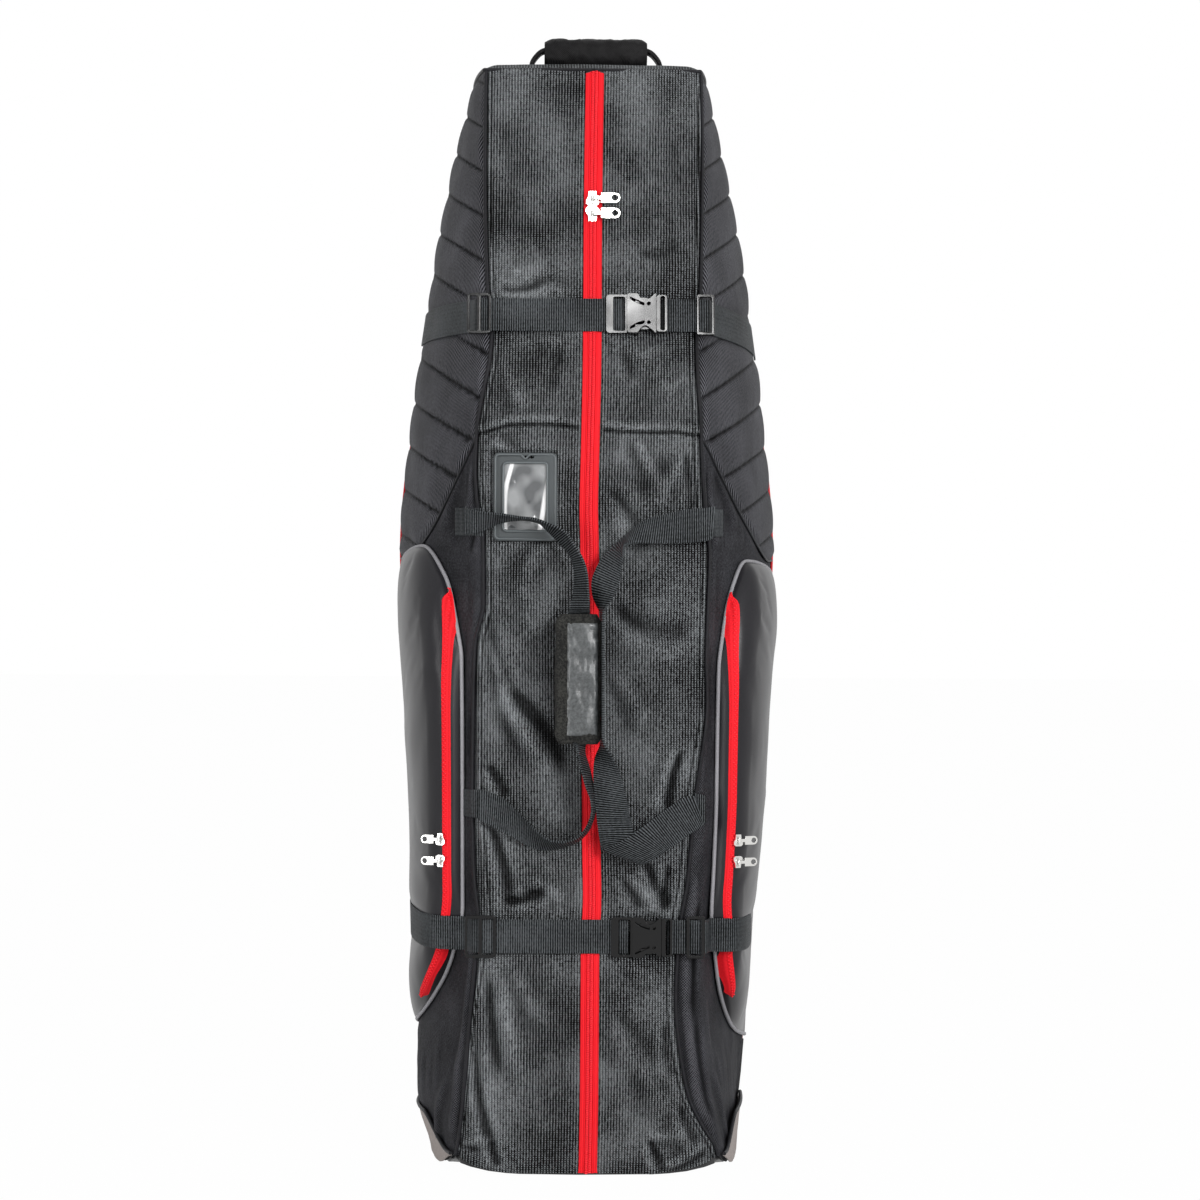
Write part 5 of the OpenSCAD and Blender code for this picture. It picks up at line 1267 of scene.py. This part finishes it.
tubeForm = {"rings": 57, "around": 56, "power": 2.7, "endPower": 6, "close": 0.2, "closeOver": 0.005, "innerShare": 0.985}


def softTube(name, half, length, width, depth, place, crumple, seed, lying=False):
    # a sewn sleeve: crowned between its ends, hollow at both
    around, rings = tubeForm["around"], []
    for share in np.linspace(0, 1, tubeForm["rings"]):
        swell = 1 - tubeForm["close"] * math.exp(-min(share, 1 - share) * length / tubeForm["closeOver"])
        outer = roundedBlock(width * swell, depth * swell, around, tubeForm["power"])
        u, v = np.arctan2(outer[:, 1], outer[:, 0]) * 0.012 + 0.5, np.full(around, share * length)
        push = 1 + crumple * lattice(u, v, 0.010, seed) + crumple * 0.5 * lattice(u, v, 0.004, seed + 1)
        rings.append(np.column_stack([outer * push[:, None], np.full(around, (share - 0.5) * length)]))
    inner = roundedBlock(*half, around, tubeForm["endPower"])
    rings += [np.column_stack([inner, np.full(around, end * length * tubeForm["innerShare"])]) for end in (0.5, -0.5)]
    rings.append(rings[0])
    obj = loft(name, np.roll(rings, 1 if lying else 0, axis=-1) + place, capped=False)
    editAll(obj, (bpy.ops.mesh.remove_doubles, {"threshold": 0.00001}), (bpy.ops.mesh.normals_make_consistent, {"inside": False}))
    return smoothShade(obj, 70)


def rimGap(x, z):
    # how far each point of a grid is from the grid's edge
    return np.minimum(np.minimum(x - x.min(), x.max() - x), np.minimum(z - z.min(), z.max() - z))


def cadMiddle(name):
    low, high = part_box(name)
    return np.array((low + high) / 2)


gripPlace, patch = cadMiddle("carry_grip"), carry["patch"]
grip = softTube("gripSleeve", (carry["width"] + 0.002, carry["thick"] + 0.002), carry["gripL"] - 0.002, carry["gripW"] - 0.003,
                carry["gripT"] - 0.002, gripPlace, 0.05, 71)
dress(grip, "nappedBorder", "carry_left", "grip_cloth", "carry_grip")
px, pz = np.meshgrid(gripPlace[0] + patch["x"] + np.linspace(-0.5, 0.5, 24) * patch["width"],
                     gripPlace[2] + np.linspace(-0.5, 0.5, 60) * patch["height"])
face = -(carry["gripT"] / 2 - 0.001) * unit(1 - (np.abs(px - gripPlace[0]) / (carry["gripW"] / 2)) ** 3.2) ** (1 / 3.2)
lift = lattice(px + 1, pz, 0.014, 77) * 0.0012 + lattice(px * 2 + 1, pz, 0.006, 78) * 0.0005 - 0.0012 * bell(rimGap(px, pz), 0.0018)
panel = clothPanel("gripPatch", stack(px, gripPlace[1] + face - patch["proud"], pz), px, pz, lift, outwardFront, thick=0.001, warp=False)
dress(panel, "gripSatin", "carry_left", "grip_cloth")

handle = {
    "padL": 0.118, "padW": 0.034, "padT": 0.030, "webW": 0.025, "webT": 0.003, "webExtra": 0.0022, "drop": 0.0048,
    "inset": 0.0016, "foot": 0.0006, "leg": 0.013, "before": 0.004, "after": 0.012, "dip": 0.002,
}
padPlace = cadMiddle("top_handle_pad")
pad = softTube("topPadSleeve", (handle["webW"] + 0.002, handle["webT"] + 0.002), handle["padL"], handle["padW"] + 0.002,
               handle["padT"] + 0.003, padPlace - np.array((0, 0, handle["drop"])), 0.07, 81, lying=True)
dress(pad, "padCloth", "top_handle", "grip_cloth", "top_handle_pad")
webLow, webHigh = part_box("top_handle_web")
legs = []
for way, outer in ((-1, webLow[0] + handle["inset"]), (1, webHigh[0] - handle["inset"])):
    padEnd = padPlace[0] + way * handle["padL"] / 2
    leg = [(outer, webLow[2] + handle["foot"]), (outer, webLow[2] + handle["leg"]),
           (padEnd + way * handle["before"], padPlace[2] - handle["dip"]), (padEnd - way * handle["after"], padPlace[2])]
    legs += leg[::-way]
course = smoothed(resample(legs, 0.003), 5)
centre = stack(course[:, 0], padPlace[1], course[:, 1])
across = np.array((0.0, 1, 0))
web = webbing("topHandleWebbing", centre, across, np.cross(across, unitRows(np.gradient(centre, axis=0))),
              handle["webW"], handle["webT"] + handle["webExtra"])
dress(web, "padCloth", "top_handle", "webbing", "top_handle_web")
print("handles laid")

guard = {
    "height": 0.056, "frontHeight": 0.004, "from": 0.03, "to": 0.9993, "reach": 0.42, "proud": 0.0006, "off": 0.0022,
    "inset": 0.008, "thick": 0.0014, "binding": 0.0022,
}
for side, word in sides:
    t = np.linspace(guard["from"], guard["to"], 60)[None]
    reach = (t - guard["from"]) / guard["reach"]
    topLine = between(case["low"] + guard["frontHeight"], guard["height"], easeIn(reach) * 0.6 + unit(reach) * 0.4)
    z = between(case["low"], topLine, np.linspace(0, 1, 24)[:, None])
    points = sidewise(flankAt(z, t, -guard["off"]), side)
    points[..., 0] += side * (np.maximum(slump(side, z, t), 0) + guard["proud"])
    u = distances(points)
    points[..., 2] += footLift(z, bell(u + guard["inset"], sidePanel["cornerReach"]))
    lift = lattice(u, z, 0.015, 90 + side) * 0.0005
    panel = clothPanel("cornerPatch_" + word, points, u, z, lift, np.array((side, 0, 0)), thick=guard["thick"], warp=False)
    dress(panel, "cornerCloth", "case", "corner_cloth", *(["corner_guards"] if side < 0 else []))
    trim = pipeAlong("cornerBinding_" + word, points[-1], guard["binding"], np.array((0.7 * side, -0.7, 0)))
    dress(trim, "pipingCloth", "case", "corner_cloth")
print("corners laid")

base = {
    "soft": 0.0012, "cutsX": (0.09, 0.11, 0.13, 0.15), "cutsY": (-0.11, -0.09, -0.07, -0.05, -0.03),
    "cornerX": 0.155, "climbFrom": 0.03, "climbOver": 0.08,
}
dressNode("baseMoulding", "base_boot", "skid_rails")
plate = crisped("base_plate", "baseMoulding", "case", "moulded_base", base["soft"])
# the front corners of the base follow the cloth up
cutter = bmesh.new()
cutter.from_mesh(plate.data)
cuts = [((x, 0, 0), (1, 0, 0)) for x in [-x for x in base["cutsX"][::-1]] + list(base["cutsX"])]
for spot, way in cuts + [((0, y, 0), (0, 1, 0)) for y in base["cutsY"]]:
    bmesh.ops.bisect_plane(cutter, geom=cutter.verts[:] + cutter.edges[:] + cutter.faces[:], plane_co=spot, plane_no=way)
for v in cutter.verts:
    forward = easeIn((-v.co.y - base["climbFrom"]) / base["climbOver"])
    v.co.z += float(footLift(v.co.z + case["low"], (abs(v.co.x) / base["cornerX"]) ** 5) * forward)
cutter.to_mesh(plate.data)
cutter.free()
dressNode("tyreRubber", "wheel_left", "wheel_right")
dressNode("axleSteel", "wheel_axles")
for part, body in (("socket", "buckle"), ("plug", ""), ("ring", ""), ("triglide", "glide")):
    for level in ("upper", "lower"):
        crisped(level + "_" + part, "acetal", level + "_" + body if body else "case", "black_acetal", 0.0007)
for name in list(cadNodes):
    if name.startswith(("main_slider", "main_pull", "pocket_slider", "pocket_pull")):
        crisped(name, "brightNickel", name, "silver_pull", 0.0003)

# name window: frame with two raised rims, and buckled film
nameWindow = {"round": 0.004, "notch": 0.005, "soft": 0.0010, "rims": (("outer", 0.0022, 0.0010), ("inner", 0.0109, 0.0013))}
crisped("name_frame", "frameRubber", "flap_left", "name_rubber", nameWindow["soft"])
frameLow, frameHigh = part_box("name_frame")
for word, inset, radius in nameWindow["rims"]:
    x0, x1, z0, z1 = frameLow[0] + inset, frameHigh[0] - inset, frameLow[2] + inset, frameHigh[2] - inset
    bend, notch, spots = nameWindow["round"], nameWindow["notch"], []
    for cx, cz, start in ((x1 - bend, z1 - bend, 0), (x0 + bend, z1 - bend, 90),
                          (x0 + bend, z0 + bend, 180), (x1 - bend, z0 + bend, 270)):
        turns = [math.radians(start + a) for a in (0, 30, 60, 90)]
        spots += [(cx + bend * math.cos(turn), cz + bend * math.sin(turn)) for turn in turns]
        if word == "outer" and start == 0:
            spots += [((x0 + x1) / 2 + notch, z1), ((x0 + x1) / 2, z1 - notch), ((x0 + x1) / 2 - notch, z1)]
    spots = np.array(spots + spots[:2])
    path = resample(stack(spots[:, 0], frameLow[1] + 0.0002, spots[:, 1]), 0.002)
    dress(pipeAlong("nameRim_" + word, path, radius, outwardFront), "rimRubber", "flap_left", "name_rubber")
filmLow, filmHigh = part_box("name_film")
px, pz = np.meshgrid(np.linspace(filmLow[0], filmHigh[0], 40), np.linspace(filmLow[2], filmHigh[2], 64))
lift = (lattice(px + 1, pz, 0.016, 41) * 0.0010 + lattice(px * 1.5 + 1, pz, 0.007, 42) * 0.0005) * easeIn(rimGap(px, pz) / 0.006)
film = clothPanel("nameFilm", stack(px, filmLow[1], pz), px, pz, lift, outwardFront, thick=0.0004, warp=False)
dress(film, "clearFilm", "flap_left", "clear_film", "name_film")
print("fittings dressed")

studio = {
    "surround": 0.34, "floorShare": 0.985, "floorGrey": 0.86, "floorSize": 30,
    "lamps": {  # place, aim, size, power
        "keyLamp": ((2.2, -4.6, 1.9), (0, 0, 0.4), 1.6, 164.0), "fillLamp": ((-3.3, -3.8, 0.7), (0, 0, 0.4), 1.8, 66.0),
        "glintLamp": ((0.15, -2.75, 2.42), (0.05, -0.13, 0.95), 0.26, 9.0), "topLamp": ((0.2, 0.6, 3.2), (0, 0, 1.0), 1.2, 3.0),
    },
}


def whiteWhereSeen(material):
    # 1 to the camera, reflections and clear film, 0 to everything else
    path = addNode(material, "LightPath")
    either = mathNode(material, "MAXIMUM", path.outputs["Is Camera Ray"], path.outputs["Is Glossy Ray"])
    return mathNode(material, "MAXIMUM", either, path.outputs["Is Transmission Ray"])


def layFloor():
    paint = bpy.data.materials.new("floorPaint")
    paint.use_nodes = True
    paint.node_tree.nodes.clear()
    matt, glow = addNode(paint, "BsdfDiffuse", in0=(*[studio["floorGrey"]] * 3, 1)), addNode(paint, "Emission", in1=1.0)
    blend, output = addNode(paint, "MixShader"), addNode(paint, "OutputMaterial")
    share = mathNode(paint, "MULTIPLY", whiteWhereSeen(paint), studio["floorShare"])
    for slot, outlet in enumerate((share, matt.outputs[0], glow.outputs[0])):
        join(paint, outlet, blend.inputs[slot])
    join(paint, blend.outputs[0], output.inputs[0])
    bpy.ops.mesh.primitive_plane_add(size=studio["floorSize"])
    floor = bpy.context.object
    floor.name = "floor"
    floor.data.transform(Matrix.Translation((0, 0, -0.0005)))
    floor.data.materials.append(paint)


def lightStudio():
    scene.world = bpy.data.worlds.new("studio")
    scene.world.use_nodes = True
    background = scene.world.node_tree.nodes["Background"]
    background.inputs["Color"].default_value = (1, 1, 1, 1)
    surround = studio["surround"]
    strength = mathNode(scene.world, "MULTIPLY_ADD", whiteWhereSeen(scene.world), 1 - surround, surround)
    join(scene.world, strength, background.inputs["Strength"])
    for name, (place, aim, size, power) in studio["lamps"].items():
        data = bpy.data.lights.new(name, "AREA")
        data.shape, data.size, data.energy = "SQUARE", size, power
        lamp = bpy.data.objects.new(name, data)
        scene.collection.objects.link(lamp)
        lamp.location = place
        lamp.rotation_euler = (Vector(aim) - Vector(place)).to_track_quat("-Z", "Y").to_euler()


layFloor()
lightStudio()
print("lit")

# what shows where, and the sizes
bpy.context.view_layer.update()
pieces = [obj for obj in scene.objects if obj.type == "MESH" and obj.name != "floor" and not obj.hide_render]
extent = np.concatenate([inPhoto([obj.matrix_world @ v.co for v in obj.data.vertices]) for obj in pieces])
low, high = extent.min(0), extent.max(0)
shows = {"leftEdge": (low[0], None), "rightEdge": (high[0], None), "topEdge": (None, low[1]), "bottomEdge": (None, high[1])}
shownBy = {
    "mainSliders": ("main_slider_up", "main_slider_low"), "nameWindow": ("name_frame",),
    "grip": ("gripSleeve",), "topPad": ("topPadSleeve",),
    "upperTriglide": ("upper_triglide",), "upperBuckle": ("upper_socket",), "upperRing": ("upper_ring",),
    "lowerTriglide": ("lower_triglide",), "lowerBuckle": ("lower_socket",), "lowerRing": ("lower_ring",),
}


def shownPoints(*names):
    things = [cadNodes[name] if name in cadNodes else bpy.data.objects[name] for name in names]
    return np.concatenate([inPhoto([v.co for v in thing.data.vertices]) for thing in things])


for point, names in shownBy.items():
    spots = shownPoints(*names)
    shows[point] = tuple((spots.min(0) + spots.max(0)) / 2)
for side, word in sides:
    spots = shownPoints("pocketPiping_" + word)
    shows[word + "PocketPeak"] = tuple(spots[spots[:, 1].argmin()])
for side, word in sides:
    shows["crossSeam" + word.capitalize()] = tuple(inPhoto([crossSeam[side]])[0])
offsets = {}
for name, spot in shows.items():
    offsets[name] = [None if a is None else round(float(a - b), 2) for a, b in zip(spot, photoPoints[name])]
